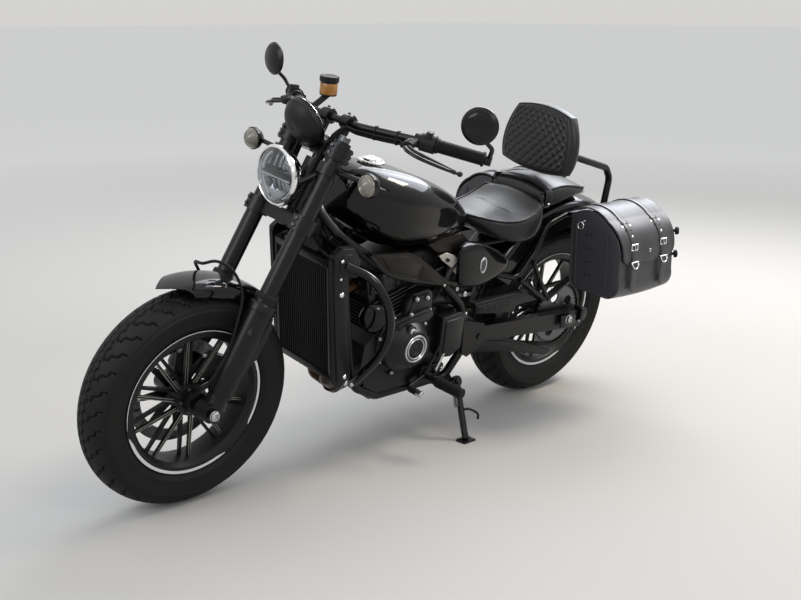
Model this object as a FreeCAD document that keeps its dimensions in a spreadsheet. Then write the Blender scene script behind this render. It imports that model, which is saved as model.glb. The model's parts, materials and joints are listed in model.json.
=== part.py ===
"""A mid-size cruiser motorcycle with saddlebags, leaning on its side stand."""
import FreeCAD, Part
import Sketcher
import math
import os
from FreeCAD import Placement, Rotation, Vector

os.makedirs("parts", exist_ok=True)
doc = FreeCAD.newDocument("cruiser")
sheet = doc.addObject("Spreadsheet::Sheet", "sizes")

# Columns: alias, value in millimetres or degrees, what it is.
SIZES = [
    ("wheelbase", 1480, "between the axles"),
    ("lean", 9.4, "roll onto the side stand, degrees"),
    ("rake", 28, "steering axis from the vertical, degrees"),
    ("fork_offset", 44, "front axle ahead of the steering axis"),
    ("running_fit", 0.05, "radial play of a bore on its pin"),
    ("seat_gap", 0.3, "gap between faces that rest on each other"),
    ("front_tyre_radius", 320, "130/90-16"),
    ("front_tyre_half", 65, "half of the section width"),
    ("rear_tyre_radius", 323, "150/80-16"),
    ("rear_tyre_half", 75, "half of the section width"),
    ("bead_radius", 203, "16 inch bead seat"),
    ("flange_height", 13, "rim flange above the bead seat"),
    ("flange_width", 5, "rim flange, along the axle"),
    ("rim_wall", 8, "rim barrel thickness"),
    ("front_rim_half", 45, "to the inside of the flange"),
    ("rear_rim_half", 50, "to the inside of the flange"),
    ("spoke_pairs", 10, "crossing pairs of cast spokes"),
    ("spoke_width", 7, "across the spoke, seen from the side"),
    ("spoke_depth", 11, "along the axle"),
    ("spoke_skew", 15, "turn between a spoke's hub and rim ends, degrees"),
    ("hub_radius", 46, "where the spokes start"),
    ("axle_radius", 9, "both axles"),
    ("front_disc_radius", 155, "brake disc"),
    ("rear_disc_radius", 120, "brake disc"),
    ("disc_thickness", 5, "brake disc"),
    ("front_disc_side", 47, "centre plane of the disc from the middle"),
    ("rear_disc_side", 88, "centre plane of the disc from the middle"),
    ("sprocket_radius", 109, "outer radius of the rear sprocket"),
    ("sprocket_teeth", 46, "rear sprocket"),
    ("chain_side", 90, "centre plane of the chain from the middle"),
    ("chain_gap", 2, "between the chain and both sprockets"),
    ("chain_height", 14, "link plate"),
    ("chain_width", 15, "over the pins"),
    ("drive_radius", 30, "gearbox sprocket under its cover"),
    ("leg_half_spacing", 102, "fork legs from the middle"),
    ("clamp_offset", 30, "fork legs ahead of the steering axis"),
    ("leg_radius", 30, "lower fork leg"),
    ("tube_radius", 25, "upper fork tube"),
    ("stem_radius", 15, "steering stem"),
    ("head_radius", 29, "steering head tube"),
    ("head_low", 600, "bottom of the head tube along the steering axis"),
    ("head_high", 750, "top of the head tube along the steering axis"),
    ("lamp_radius", 84, "headlamp rim"),
    ("lamp_depth", 67, "headlamp bucket"),
    ("bar_radius", 11, "handlebar tube"),
    ("grip_radius", 17, "grip"),
    ("grip_length", 138, "grip"),
    ("bar_half", 424, "middle to the bar end"),
    ("mirror_radius", 49, "bar-end mirror"),
    ("frame_tube", 14, "radius of the main frame tubes"),
    ("guard_tube", 13, "radius of the engine guard tube"),
    ("arm_width", 28, "swingarm tube"),
    ("arm_inner", 108, "inner face of the swingarm from the middle"),
    ("fender_gap", 82, "rear tyre tread to the inside of the fender"),
    ("fender_half", 94, "outside of the rear fender skirt"),
    ("sheet_metal", 3, "fender wall"),
    ("bag_length", 295, "saddlebag along the bike"),
    ("bag_wall", 5, "leather over board"),
    ("bag_front", 100, "front panel ahead of the rear axle"),
    ("bag_hinge_side", 166, "lid hinge from the middle"),
    ("bag_hinge_height", 735, "lid hinge above the floor line"),
    ("bag_swing", 9, "the left bag hangs out from its hinge, degrees"),
    ("stand_pin", 6, "side stand pivot pin radius"),
    ("stand_leg", 11, "side stand tube radius"),
    ("spool_hole", 4, "paddock stand bobbin hole in each arm, radius"),
]
for row, (alias, value, note) in enumerate(SIZES, start=1):
    sheet.set(f"A{row}", str(value))
    sheet.setAlias(f"A{row}", alias)
    sheet.set(f"B{row}", note)
doc.recompute()


class Sizes:
    """Reads a size from the sheet by its alias."""

    def __getattr__(self, alias):
        return float(sheet.get(alias))


mm = Sizes()
AXIS_X, AXIS_Y, AXIS_Z = Vector(1, 0, 0), Vector(0, 1, 0), Vector(0, 0, 1)
LEAN, RAKE = math.radians(mm.lean), math.radians(mm.rake)


SHOULDER_OUT, SHOULDER_IN = 0.9, 0.42


def axle_height(radius, half):
    """Height of an axle so that the leaning tyre's round crown just meets the floor."""
    crown = half * (SHOULDER_OUT ** 2 + SHOULDER_IN ** 2) / (2 * SHOULDER_IN)
    return radius - crown + crown / math.cos(LEAN)


FRONT_AXLE = Vector(mm.wheelbase, 0, axle_height(mm.front_tyre_radius, mm.front_tyre_half))
REAR_AXLE = Vector(0, 0, axle_height(mm.rear_tyre_radius, mm.rear_tyre_half))

# The upright bike rolls onto its stand about the line between the tyres,
# and the origin moves to the middle of the floor that it covers.
FLOOR_MIDDLE = Vector(711, 184.6, 0)
PARKED = Placement(-FLOOR_MIDDLE, Rotation(AXIS_X, -mm.lean))
# The steering frame: x forward, square to the steering axis, and z up along it.
STEERING_FOOT = FRONT_AXLE - Vector(math.cos(RAKE), 0, math.sin(RAKE)) * mm.fork_offset
STEERING = Placement(STEERING_FOOT, Rotation(AXIS_Y, -mm.rake))
nodes = []


def node(label, thing, place=Placement()):
    """Name a finished sub-part and stand it on the parked bike."""
    feature = thing
    if isinstance(thing, Part.Shape):
        feature = doc.addObject("Part::Feature", label)
        feature.Shape = thing
        place = place.multiply(thing.Placement)
    feature.Label = label
    feature.Placement = PARKED.multiply(place)
    nodes.append(feature)
    return feature


def primitive(kind, name, place=Placement(), **sizes):
    """A Part primitive whose sizes are expressions on the sheet."""
    feature = doc.addObject(kind, name)
    for size, expression in sizes.items():
        feature.setExpression(size, expression)
    feature.Placement = place
    return feature


def body_outline(body, plane, corners):
    """A closed outline in a body's own plane, each corner bound to its two expressions."""
    sketch = body.newObject("Sketcher::SketchObject", f"{body.Name}_outline")
    support = [item for item in body.Origin.OriginFeatures if item.Role == plane][0]
    sketch.AttachmentSupport = [(support, "")]
    sketch.MapMode = "FlatFace"
    spots = [Vector(*(float(sketch.evalExpression(text)) for text in corner), 0)
             for corner in corners]
    count = len(spots)
    for index, spot in enumerate(spots):
        sketch.addGeometry(Part.LineSegment(spot, spots[(index + 1) % count]))
    for index in range(count):
        sketch.addConstraint(Sketcher.Constraint("Coincident", index, 2, (index + 1) % count, 1))
    for index, (corner, spot) in enumerate(zip(corners, spots)):
        for kind, text, value, axis in (("DistanceX", corner[0], spot.x, -2),
                                        ("DistanceY", corner[1], spot.y, -1)):
            if abs(value) < 1e-9:
                sketch.addConstraint(Sketcher.Constraint("PointOnObject", index, 1, axis))
            else:
                number = sketch.addConstraint(
                    Sketcher.Constraint(kind, -1, 1, index, 1, value))
                sketch.setExpression(f"Constraints[{number}]", text)
    return sketch


def turned_body(name, corners):
    """A body turned about its Y axis: each corner is a radius and a place along the axis."""
    body = doc.addObject("PartDesign::Body", name)
    sketch = body_outline(body, "XY_Plane", corners)
    turn = body.newObject("PartDesign::Revolution", f"{name}_turn")
    turn.Profile = sketch
    turn.ReferenceAxis = (sketch, ["V_Axis"])
    turn.Angle = 360
    return body


def rounded_path(points, bend):
    """Straight runs through the points, joined by tangent arcs."""
    points = [Vector(*point) for point in points]
    edges, start = [], points[0]
    for before, corner, after in zip(points, points[1:], points[2:]):
        back, ahead = before - corner, after - corner
        shorter = min(back.Length, ahead.Length)
        back.normalize()
        ahead.normalize()
        half_angle = back.getAngle(ahead) / 2
        reach = min(bend / math.tan(half_angle), 0.45 * shorter)
        radius = reach * math.tan(half_angle)
        inward = (back + ahead).normalize()
        middle = corner + inward * (radius / math.sin(half_angle) - radius)
        edges.append(Part.LineSegment(start, corner + back * reach).toShape())
        edges.append(Part.Arc(corner + back * reach, middle, corner + ahead * reach).toShape())
        start = corner + ahead * reach
    edges.append(Part.LineSegment(start, points[-1]).toShape())
    return Part.Wire(edges)


def bent_tube(points, radius, bend=40):
    """A round bar along straight runs with tangent bends."""
    path = rounded_path(points, bend)
    first, second = Vector(*points[0]), Vector(*points[1])
    section = Part.Wire(Part.makeCircle(radius, first, second - first))
    return path.makePipeShell([section], True, False)


def both_sides(shape):
    """The left piece with its mirror image on the right."""
    return Part.makeCompound([shape, shape.mirror(Vector(), AXIS_Y)])


def fused(shapes):
    """One solid from pieces that cross."""
    whole = shapes[0]
    for shape in shapes[1:]:
        whole = whole.fuse(shape)
    return whole.removeSplitter()


def plate(outline, low, high):
    """A flat piece seen from the side, between two widths."""
    points = [Vector(x, low, z) for x, z in outline]
    face = Part.Face(Part.makePolygon(points + points[:1]))
    return face.extrude(AXIS_Y * (high - low))


def rod(start, end, radius):
    """A straight round bar."""
    start, end = Vector(*start), Vector(*end)
    return Part.makeCylinder(radius, (end - start).Length, start, end - start)


def section_ring(x, half_width, low, high, corner):
    """A rounded rectangle across the bike at one place along it."""
    corner = min(corner, 0.49 * (high - low), 0.98 * half_width)
    y = half_width - corner
    edges = []
    centres = [(y, high - corner, 0), (-y, high - corner, 90),
               (-y, low + corner, 180), (y, low + corner, 270)]
    for (cy, cz, turn), (ny, nz, _) in zip(centres, centres[1:] + centres[:1]):
        spots = [Vector(x, cy + corner * math.cos(math.radians(turn + step)),
                        cz + corner * math.sin(math.radians(turn + step))) for step in (0, 45, 90)]
        edges.append(Part.Arc(*spots).toShape())
        after = math.radians(turn + 90)
        end = Vector(x, ny + corner * math.cos(after), nz + corner * math.sin(after))
        edges.append(Part.LineSegment(spots[2], end).toShape())
    return Part.Wire(edges)


def lofted(stations, ruled=True):
    """A form through rounded sections: x, half width, low, high, corner radius."""
    return Part.makeLoft([section_ring(*station) for station in stations], True, ruled)


def outline_face(steps, to_space):
    """A flat face: each step is a corner, or the middle and the end of an arc."""
    edges, start = [], to_space(*steps[0])
    first = start
    for step in list(steps[1:]) + [steps[0]]:
        end = to_space(*step[-2:])
        if len(step) == 4:
            edges.append(Part.Arc(start, to_space(*step[:2]), end).toShape())
        elif (end - start).Length > 1e-6:
            edges.append(Part.LineSegment(start, end).toShape())
        start = end
    if (start - first).Length > 1e-6:
        edges.append(Part.LineSegment(start, first).toShape())
    return Part.Face(Part.Wire(edges))


def turned(steps, place=Placement()):
    """A round piece about Z: each step is a radius and a height."""
    face = outline_face(steps, lambda radius, height: Vector(radius, 0, height))
    solid = face.revolve(Vector(), AXIS_Z, 360)
    solid.Placement = place.multiply(solid.Placement)
    return solid


def dome(radius, low, high):
    """The step of a round cap that rises from an edge to the axis."""
    centre = ((high ** 2 - low ** 2) - radius ** 2) / (2 * (high - low))
    half_angle = math.atan2(radius, low - centre) / 2
    return ((high - centre) * math.sin(half_angle), centre + (high - centre) * math.cos(half_angle),
            0, high)


def moved(shape, place):
    """A copy of a shape at a place."""
    copy = shape.copy()
    copy.Placement = place.multiply(copy.Placement)
    return copy


# Wheels, each modelled about its axle along Y.
def tyre(radius, half, rim_half):
    """A tyre: round crown, bulging sidewalls, beads between the rim flanges."""
    bore = mm.bead_radius + mm.seat_gap
    lip = rim_half - mm.seat_gap
    over_flange = mm.bead_radius + mm.flange_height + 4
    shoulder = Vector(radius - SHOULDER_IN * half, SHOULDER_OUT * half, 0)
    widest = Vector((radius + over_flange) / 2, half, 0)
    neck = Vector(over_flange, lip + 6, 0)
    inner = [Vector(over_flange - 3, lip, 0), Vector(bore, lip, 0)]

    def flip(spot):
        return Vector(spot.x, -spot.y, 0)

    edges = [Part.Arc(flip(shoulder), Vector(radius, 0, 0), shoulder).toShape(),
             Part.Arc(shoulder, widest, neck).toShape(),
             Part.LineSegment(neck, inner[0]).toShape(),
             Part.LineSegment(inner[0], inner[1]).toShape(),
             Part.LineSegment(inner[1], flip(inner[1])).toShape(),
             Part.LineSegment(flip(inner[1]), flip(inner[0])).toShape(),
             Part.LineSegment(flip(inner[0]), flip(neck)).toShape(),
             Part.Arc(flip(neck), flip(widest), flip(shoulder)).toShape()]
    return Part.Face(Part.Wire(edges)).revolve(Vector(), AXIS_Y, 360)


def cast_wheel(rim_half, hub_left, hub_right):
    """Rim barrel, hub and two rows of spokes that cross, as one casting."""
    top = mm.bead_radius + mm.flange_height
    side = rim_half + mm.flange_width
    floor = mm.bead_radius - mm.rim_wall
    outline = [(mm.bead_radius, -rim_half), (top, -rim_half), (top, -side),
               (floor, -side), (floor - 10, -side + 14), (floor - 10, side - 14), (floor, side),
               (top, side), (top, rim_half), (mm.bead_radius, rim_half)]
    corners = [Vector(r, y, 0) for r, y in outline]
    barrel = Part.Face(Part.makePolygon(corners + corners[:1])).revolve(Vector(), AXIS_Y, 360)
    length = hub_left + hub_right
    hub = Part.makeCylinder(mm.hub_radius, 60, Vector(0, -30, 0), AXIS_Y)
    boss = Part.makeCylinder(mm.hub_radius - 14, length, Vector(0, -hub_right, 0), AXIS_Y)
    spokes = []
    reach, half = floor - 6, mm.spoke_width / 2
    for row, lean in ((1, mm.spoke_skew), (-1, -mm.spoke_skew)):
        tip = Vector(reach * math.cos(math.radians(lean)), 0, reach * math.sin(math.radians(lean)))
        root = Vector(mm.hub_radius - 8, 0, 0)
        along = (tip - root).normalize()
        across = Vector(-along.z, 0, along.x)
        foot = row * 2 if row > 0 else row * 2 - mm.spoke_depth
        ring = [root - across * (half + 2), tip - across * half,
                tip + across * half, root + across * (half + 2)]
        ring = [spot + AXIS_Y * foot for spot in ring]
        blade = Part.Face(Part.makePolygon(ring + ring[:1])).extrude(AXIS_Y * mm.spoke_depth)
        for number in range(int(mm.spoke_pairs)):
            turned = blade.copy()
            turned.rotate(Vector(), AXIS_Y, number * 360 / mm.spoke_pairs)
            spokes.append(turned)
    bore = Part.makeCylinder(mm.axle_radius + mm.running_fit, length + 2,
                             Vector(0, -hub_right - 1, 0), AXIS_Y)
    return barrel.multiFuse([hub, boss] + spokes).cut(bore)


AT_FRONT_AXLE, AT_REAR_AXLE = Placement(FRONT_AXLE, Rotation()), Placement(REAR_AXLE, Rotation())
node("front_tyre", tyre(mm.front_tyre_radius, mm.front_tyre_half, mm.front_rim_half), AT_FRONT_AXLE)
node("rear_tyre", tyre(mm.rear_tyre_radius, mm.rear_tyre_half, mm.rear_rim_half), AT_REAR_AXLE)
front_disc_face = mm.front_disc_side - mm.disc_thickness / 2
rear_disc_face = mm.rear_disc_side - mm.disc_thickness / 2
sprocket_face = mm.chain_side - 3
node("front_rim", cast_wheel(mm.front_rim_half, 60, front_disc_face - mm.seat_gap), AT_FRONT_AXLE)
node("rear_rim", cast_wheel(mm.rear_rim_half, sprocket_face - mm.seat_gap,
                            rear_disc_face - mm.seat_gap), AT_REAR_AXLE)


def brake_disc(label, radius_alias, side_alias, place):
    """A drilled disc on the right of its wheel."""
    body = turned_body(label, [("14", f"-sizes.{side_alias} - sizes.disc_thickness / 2"),
                               (f"sizes.{radius_alias}",
                                f"-sizes.{side_alias} - sizes.disc_thickness / 2"),
                               (f"sizes.{radius_alias}",
                                f"-sizes.{side_alias} + sizes.disc_thickness / 2"),
                               ("14", f"-sizes.{side_alias} + sizes.disc_thickness / 2")])
    node(label, body, place)


brake_disc("front_disc", "front_disc_radius", "front_disc_side", AT_FRONT_AXLE)
brake_disc("rear_disc", "rear_disc_radius", "rear_disc_side", AT_REAR_AXLE)


def rear_sprocket():
    """A toothed ring on the left of the rear hub."""
    teeth, tip, root = int(mm.sprocket_teeth), mm.sprocket_radius, mm.sprocket_radius - 7
    points = []
    for number in range(teeth):
        start = 2 * math.pi * number / teeth
        for share, radius in ((0, root), (0.25, root), (0.5, tip), (0.75, tip)):
            angle = start + share * 2 * math.pi / teeth
            points.append(Vector(radius * math.cos(angle), sprocket_face, radius * math.sin(angle)))
    blank = Part.Face(Part.makePolygon(points + points[:1])).extrude(AXIS_Y * 6)
    cuts = [Part.makeCylinder(14, 8, Vector(0, sprocket_face - 1, 0), AXIS_Y)]
    for number in range(5):
        angle = 2 * math.pi * number / 5
        centre = Vector(68 * math.cos(angle), sprocket_face - 1, 68 * math.sin(angle))
        cuts.append(Part.makeCylinder(20, 8, centre, AXIS_Y))
    return blank.cut(cuts)


node("rear_sprocket", rear_sprocket(), AT_REAR_AXLE)

# Axles, bound to the sheet.
FACING_RIGHT = Rotation(AXIS_X, 90)
front_axle_half = "(sizes.leg_half_spacing + sizes.leg_radius + 6)"
front_axle = primitive("Part::Cylinder", "front_axle",
                       Radius="sizes.axle_radius", Height=f"2 * {front_axle_half}")
node("front_axle", front_axle,
     Placement(FRONT_AXLE + AXIS_Y * (mm.leg_half_spacing + mm.leg_radius + 6), FACING_RIGHT))
rear_axle_half = mm.arm_inner + mm.arm_width + 12
rear_axle = primitive("Part::Cylinder", "rear_axle", Radius="sizes.axle_radius",
                      Height="2 * (sizes.arm_inner + sizes.arm_width + 12)")
node("rear_axle", rear_axle, Placement(REAR_AXLE + AXIS_Y * rear_axle_half, FACING_RIGHT))

# Fork and steering, in the steering frame.
LEG_FOOT, LEG_TOP, TUBE_TOP = -22, 335, 818
FENDER_LUG = 316
LOW_CLAMP, HIGH_CLAMP, CLAMP_HEIGHT = 545, 764, 44


def fork_leg():
    """Left leg: foot clamp round the axle, casting, fender lug, seal and upper tube."""
    x, y = mm.clamp_offset, mm.leg_half_spacing
    casting = rod((x, y, LEG_FOOT), (x, y, LEG_TOP), mm.leg_radius)
    foot = rod((mm.fork_offset, y - 24, 0), (mm.fork_offset, y + 26, 0), 27)
    seal = rod((x, y, LEG_TOP - 1), (x, y, LEG_TOP + 18), mm.leg_radius + 3)
    tube = rod((x, y, LEG_TOP), (x, y, TUBE_TOP), mm.tube_radius)
    fender_lug = rod((x, y, FENDER_LUG), (x, mm.front_tyre_half + 4 + mm.seat_gap, FENDER_LUG), 11)
    bore = rod((mm.fork_offset, y - 40, 0), (mm.fork_offset, y + 40, 0),
               mm.axle_radius + mm.running_fit)
    return fused([casting, foot, seal, tube, fender_lug]).cut(bore)


node("fork_legs", both_sides(fork_leg()), STEERING)


def triple_clamp(low, ribs=0):
    """A yoke across both fork tubes and the stem, with ribs round its eyes."""
    x, y = mm.clamp_offset, mm.leg_half_spacing
    bridge = Part.makeBox(52, 2 * y, CLAMP_HEIGHT - 8, Vector(x - 42, -y, low + 4))
    eyes = [rod((x, side * y, low), (x, side * y, low + CLAMP_HEIGHT), mm.tube_radius + 11)
            for side in (1, -1)]
    for number in range(ribs):
        foot = low + 4 + number * CLAMP_HEIGHT / ribs
        eyes += [rod((x, side * y, foot), (x, side * y, foot + 8), mm.tube_radius + 14)
                 for side in (1, -1)]
    collar = rod((0, 0, low), (0, 0, low + CLAMP_HEIGHT), mm.stem_radius + 13)
    bores = [rod((x, side * y, low - 1), (x, side * y, low + CLAMP_HEIGHT + 1),
                 mm.tube_radius + mm.running_fit) for side in (1, -1)]
    return fused([bridge, collar] + eyes).cut(bores)


RISER_X, RISER_SIDE, RISER_TOP = -7, 45, 880


def riser(side):
    """A post from the upper yoke, clamped round the bar."""
    y = side * RISER_SIDE
    post = rod((RISER_X, y, HIGH_CLAMP + CLAMP_HEIGHT - 10), (RISER_X, y, RISER_TOP - 12), 14)
    block = rod((RISER_X, y - 17, RISER_TOP), (RISER_X, y + 17, RISER_TOP), 21)
    return post.fuse(block)


stem = rod((0, 0, LOW_CLAMP + 10), (0, 0, HIGH_CLAMP + 10), mm.stem_radius)
bar_bore = rod((RISER_X, -90, RISER_TOP), (RISER_X, 90, RISER_TOP), mm.bar_radius + mm.running_fit)
yokes = fused([triple_clamp(LOW_CLAMP), triple_clamp(HIGH_CLAMP, 3), stem, riser(1), riser(-1)])
node("triple_clamps", yokes.cut(bar_bore), STEERING)


def fender_section(inner, half, skirt, shoulder, rise):
    """Crown, shoulders and skirts of a pressed fender, as radius and width."""
    wall = mm.sheet_metal

    def half_of(skin):
        side = half - skin
        return [(inner - skirt, side), (inner, side),
                (inner + 0.59 * shoulder - 0.6 * skin, 0.945 * side,
                 inner + shoulder - skin, 0.78 * side), (inner + shoulder + rise - skin, 0)]

    outside, inside = half_of(0), half_of(wall)
    crown, under = outside[3], inside[3]
    return (outside[:3] + [(*crown, outside[2][2], -outside[2][3]),
                           (outside[2][0], -outside[2][1], inner, -half), (inner - skirt, -half),
                           (inner - skirt, -half + wall), (inner, -half + wall),
                           (inside[2][0], -inside[2][1], inside[2][2], -inside[2][3]),
                           (*under, inside[2][2], inside[2][3]),
                           (inside[2][0], inside[2][1], inner, half - wall),
                           (inner - skirt, half - wall)])


def fender_shell(section, start, sweep):
    """A fender section turned about its axle, from an angle ahead of it and over the top."""
    face = outline_face(section, lambda radius, y: Vector(radius, y, 0))
    shell = face.revolve(Vector(), AXIS_Y, -sweep)
    shell.rotate(Vector(), AXIS_Y, -start)
    return shell


front_section = fender_section(mm.front_tyre_radius + 9, mm.front_tyre_half + 4, 14, 18, 8)
node("front_fender", fender_shell(front_section, 75, 53), AT_FRONT_AXLE)

# Headlamp, gauge and signals, square to the bike.
LAMP = Vector(1227, 0, 930)
FACING_FORWARD = Rotation(AXIS_Y, 90)


lamp_place = Placement(LAMP, FACING_FORWARD)
rim, depth = mm.lamp_radius, mm.lamp_depth
node("headlamp_bucket", turned([(0, -depth), (0.72 * rim, -0.68 * depth, rim - 5, -14),
                                (rim, -14), (rim, 3), (rim - 7, 3), (rim - 7, -6), (0, -6)],
                               lamp_place))
node("headlamp_lens", turned([(0, -6 + mm.seat_gap), (rim - 7 - mm.seat_gap, -6 + mm.seat_gap),
                              (rim - 7 - mm.seat_gap, 2), dome(rim - 7 - mm.seat_gap, 2, 11)],
                             lamp_place))

BAND_LOW, BAND_HIGH = 716, 748
FRONT_SIGNAL = Vector(1106, 260, 962)


def lamp_bracket():
    """Bands round the fork tubes with arms to the headlamp and the front signals."""
    x, y = mm.clamp_offset, mm.leg_half_spacing
    band = rod((x, y, BAND_LOW), (x, y, BAND_HIGH), mm.tube_radius + 9)
    bore = rod((x, y, LOW_CLAMP), (x, y, HIGH_CLAMP), mm.tube_radius + mm.running_fit)
    band = moved(band, STEERING)
    lamp_arm = rod(LAMP + Vector(-20, 0.9 * mm.lamp_radius, 0), (1140, y - 14, 955), 8)
    signal_arm = rod((1118, y + 20, 962), FRONT_SIGNAL - AXIS_Y * 16, 7)
    left = fused([band, lamp_arm, signal_arm]).cut(moved(bore, STEERING))
    clear = turned([(0, -depth - 1), (0.72 * rim, -0.68 * depth - 1, rim - 4, -14),
                    (rim + 0.4, -14), (rim + 0.4, 4), (0, 4)], lamp_place)
    return both_sides(left.cut(clear))


def front_signal():
    """A round signal on the end of its arm."""
    place = Placement(FRONT_SIGNAL, FACING_FORWARD)
    body = turned([(0, -12), (22, -10), (32, 4), (32, 12), (0, 12)], place)
    lens = turned([(0, 12), (30, 12), (30, 15), dome(30, 15, 22)], place)
    return fused([body, lens])


signal = front_signal()
node("front_signals", fused([lamp_bracket(), signal, signal.mirror(Vector(), AXIS_Y)]))

GAUGE = Placement(Vector(1145, 0, 1073), Rotation(AXIS_Y, -65))
gauge = fused([turned([(0, -34), (42, -30, 66, -6), (70, -2), (70, 14), (65, 14), (65, 9), (0, 9)],
                      GAUGE),
               rod((1098, 0, 1004), (1140, 0, 1036), 16)])
yoke_seats = [moved(yokes, STEERING.multiply(Placement(away * mm.seat_gap, Rotation())))
              for away in (AXIS_Z, AXIS_X)]
node("gauge", max(gauge.cut(yoke_seats).Solids, key=lambda solid: solid.Volume))

# Handlebar: out from the risers, then back to the grips.
BAR_TURN = Vector(968, 262, 1076)
BAR_END = Vector(860, mm.bar_half, 1053)
riser_line = STEERING.multVec(Vector(RISER_X, 0, RISER_TOP))
BAR_BEND = riser_line + AXIS_Y * 95
BAR_ROUTE = [BAR_END, BAR_TURN, BAR_BEND] + [Vector(point.x, -point.y, point.z)
                                             for point in (BAR_BEND, BAR_TURN, BAR_END)]
node("handlebar", bent_tube(BAR_ROUTE, mm.bar_radius, 55))

bar_inward = (BAR_TURN - BAR_END).normalize()
LEVER_TIP = Vector(952, 408, 1022)


def on_bar(start, end, radius):
    """A sleeve round the left end of the bar, between two distances from its tip."""
    low, high = BAR_END + bar_inward * start, BAR_END + bar_inward * end
    sleeve = rod(low, high, radius)
    return sleeve.cut(rod(low - bar_inward, high + bar_inward, mm.bar_radius + mm.running_fit))


node("grips", both_sides(on_bar(2, mm.grip_length, mm.grip_radius)))


def bar_controls():
    """Switch box, perch and lever of the left bar end."""
    perch_at = BAR_END + bar_inward * (mm.grip_length + 43)
    box = rod(perch_at - bar_inward * 42, perch_at - bar_inward, 25)
    hub = rod(perch_at + Vector(8, 0, 2), perch_at + Vector(46, 6, -8), 11)
    perch = hub.fuse(rod(perch_at - bar_inward * 2, perch_at + bar_inward * 10, 20))
    lever = bent_tube([perch_at + Vector(40, -8, -6), perch_at + Vector(62, 30, -12),
                       LEVER_TIP], 6, 30)
    return fused([box, perch, lever])


controls = bar_controls()
reservoir_seat = BAR_ROUTE[4] + (BAR_ROUTE[3] - BAR_ROUTE[4]) * 0.8
RESERVOIR = Vector(962, -124, 1112)
reservoir = turned([(0, 0), (25, 0), (25, 38), (28, 40), (28, 55), (0, 55)],
                   Placement(RESERVOIR, Rotation()))
reservoir_foot = rod(RESERVOIR + AXIS_Z * 2, reservoir_seat + AXIS_Z * 5, 9)
bar_clear = bent_tube(BAR_ROUTE, mm.bar_radius + mm.running_fit, 55)
reservoir = fused([reservoir, reservoir_foot]).cut(bar_clear)
controls = controls.cut(bar_clear)
node("bar_controls", Part.makeCompound([controls, controls.mirror(Vector(), AXIS_Y), reservoir]))


MIRROR = Vector(924, mm.bar_half + 22, 1153)
# How far the left and the right mirror are turned from straight ahead.
MIRROR_TURNS = (33, 5)


def bar_mirror(turn):
    """A round bar-end mirror on its bent arm, turned outward from straight ahead."""
    outward = BAR_END - bar_inward * mm.seat_gap
    collar = rod(outward, outward - bar_inward * 16, 14)
    arm = bent_tube([outward - bar_inward * 8, BAR_END + Vector(10, 30, 36),
                     MIRROR + Vector(-4, 6, -26), MIRROR], 6, 25)
    facing = Rotation(AXIS_Z, turn).multiply(Rotation(AXIS_Y, -90))
    disc = turned([(0, -8), (mm.mirror_radius - 8, -7), (mm.mirror_radius, 0),
                   (mm.mirror_radius, 6), (0, 6)], Placement(MIRROR, facing))
    return fused([collar, arm, disc])


left_mirror, right_mirror = (bar_mirror(turn) for turn in MIRROR_TURNS)
node("mirrors", Part.makeCompound([left_mirror, right_mirror.mirror(Vector(), AXIS_Y)]))


def front_caliper():
    """A caliper over the disc, behind the right fork leg."""
    side = -mm.front_disc_side
    block = Part.makeBox(80, 44, 78, Vector(-86, side - 23, 56))
    slot = Part.makeBox(200, mm.disc_thickness + 5, 200,
                        Vector(-120, side - mm.disc_thickness / 2 - 2.5, 0))
    lug = Part.makeBox(30, 30, 44, Vector(-26, -98, 72))
    leg = rod((mm.clamp_offset, -mm.leg_half_spacing, 0),
              (mm.clamp_offset, -mm.leg_half_spacing, 300), mm.leg_radius + mm.seat_gap)
    outer = rod((mm.fork_offset, side - 40, 0), (mm.fork_offset, side + 40, 0),
                mm.front_disc_radius + 22)
    inner = rod((mm.fork_offset, side - 40, 0), (mm.fork_offset, side + 40, 0), 60)
    sweep = rod((mm.fork_offset, side - 40, 0), (mm.fork_offset, side + 40, 0),
                mm.front_disc_radius + 5)
    return block.cut(slot.common(sweep)).fuse(lug).cut(leg).common(outer.cut(inner))


node("front_caliper", front_caliper(), STEERING)

# Columns: place along the bike, half width, low, high, corner radius.
TANK = [(1008, 58, 785, 904, 50), (965, 104, 748, 936, 70), (875, 148, 702, 932, 92),
        (770, 152, 688, 907, 88), (660, 132, 682, 862, 74), (560, 98, 690, 806, 52),
        (502, 60, 700, 754, 24)]
tank = lofted(TANK, ruled=False)
TRIM_SIDE = 137

# Main frame, seen from the left; the right side is its mirror image.
STAND_PIVOT = Vector(540, 150, 208)
STAND_FOOT = Vector(568, 250.6, 41.5)
ARM_PIVOT = Vector(455, 0, 347)
STOWED = Vector(-1, 0, 0)
stand_axis = (STAND_FOOT - STAND_PIVOT).cross(STOWED).normalize()
STAND_EYE, STAND_EYE_HALF = 18, 6
tube = mm.frame_tube
side_rail = bent_tube([(1128, 14, 870), (1062, 96, 766), (930, 118, 669), (828, 122, 623),
                       (640, 122, 560), (545, 124, 470), (522, 124, 400), (515, 124, 300),
                       (566, 112, 214), (661, 100, 212), (855, 100, 212), (945, 106, 262),
                       (978, 110, 320)], tube, 50)
down_tube = bent_tube([(966, 108, 296), (978, 110, 320), (1012, 106, 500), (1034, 84, 700),
                       (1142, 12, 848)], tube, 50)
SEAT_RAIL, SEAT_TUBE = [(640, 122, 560), (560, 108, 641.7), (480, 70, 641.7), (320, 70, 641.7)], 10
seat_rail = bent_tube(SEAT_RAIL, SEAT_TUBE, 40)
FENDER_RAIL = [(578, 116, 628), (430, 112, 560), (262, 106, 505), (190, 106, 590),
               (150, 106, 680), (60, 106, 706), (-150, 106, 700)]
FENDER_TUBE = 9
fender_rail = bent_tube(FENDER_RAIL, FENDER_TUBE, 50)
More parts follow.
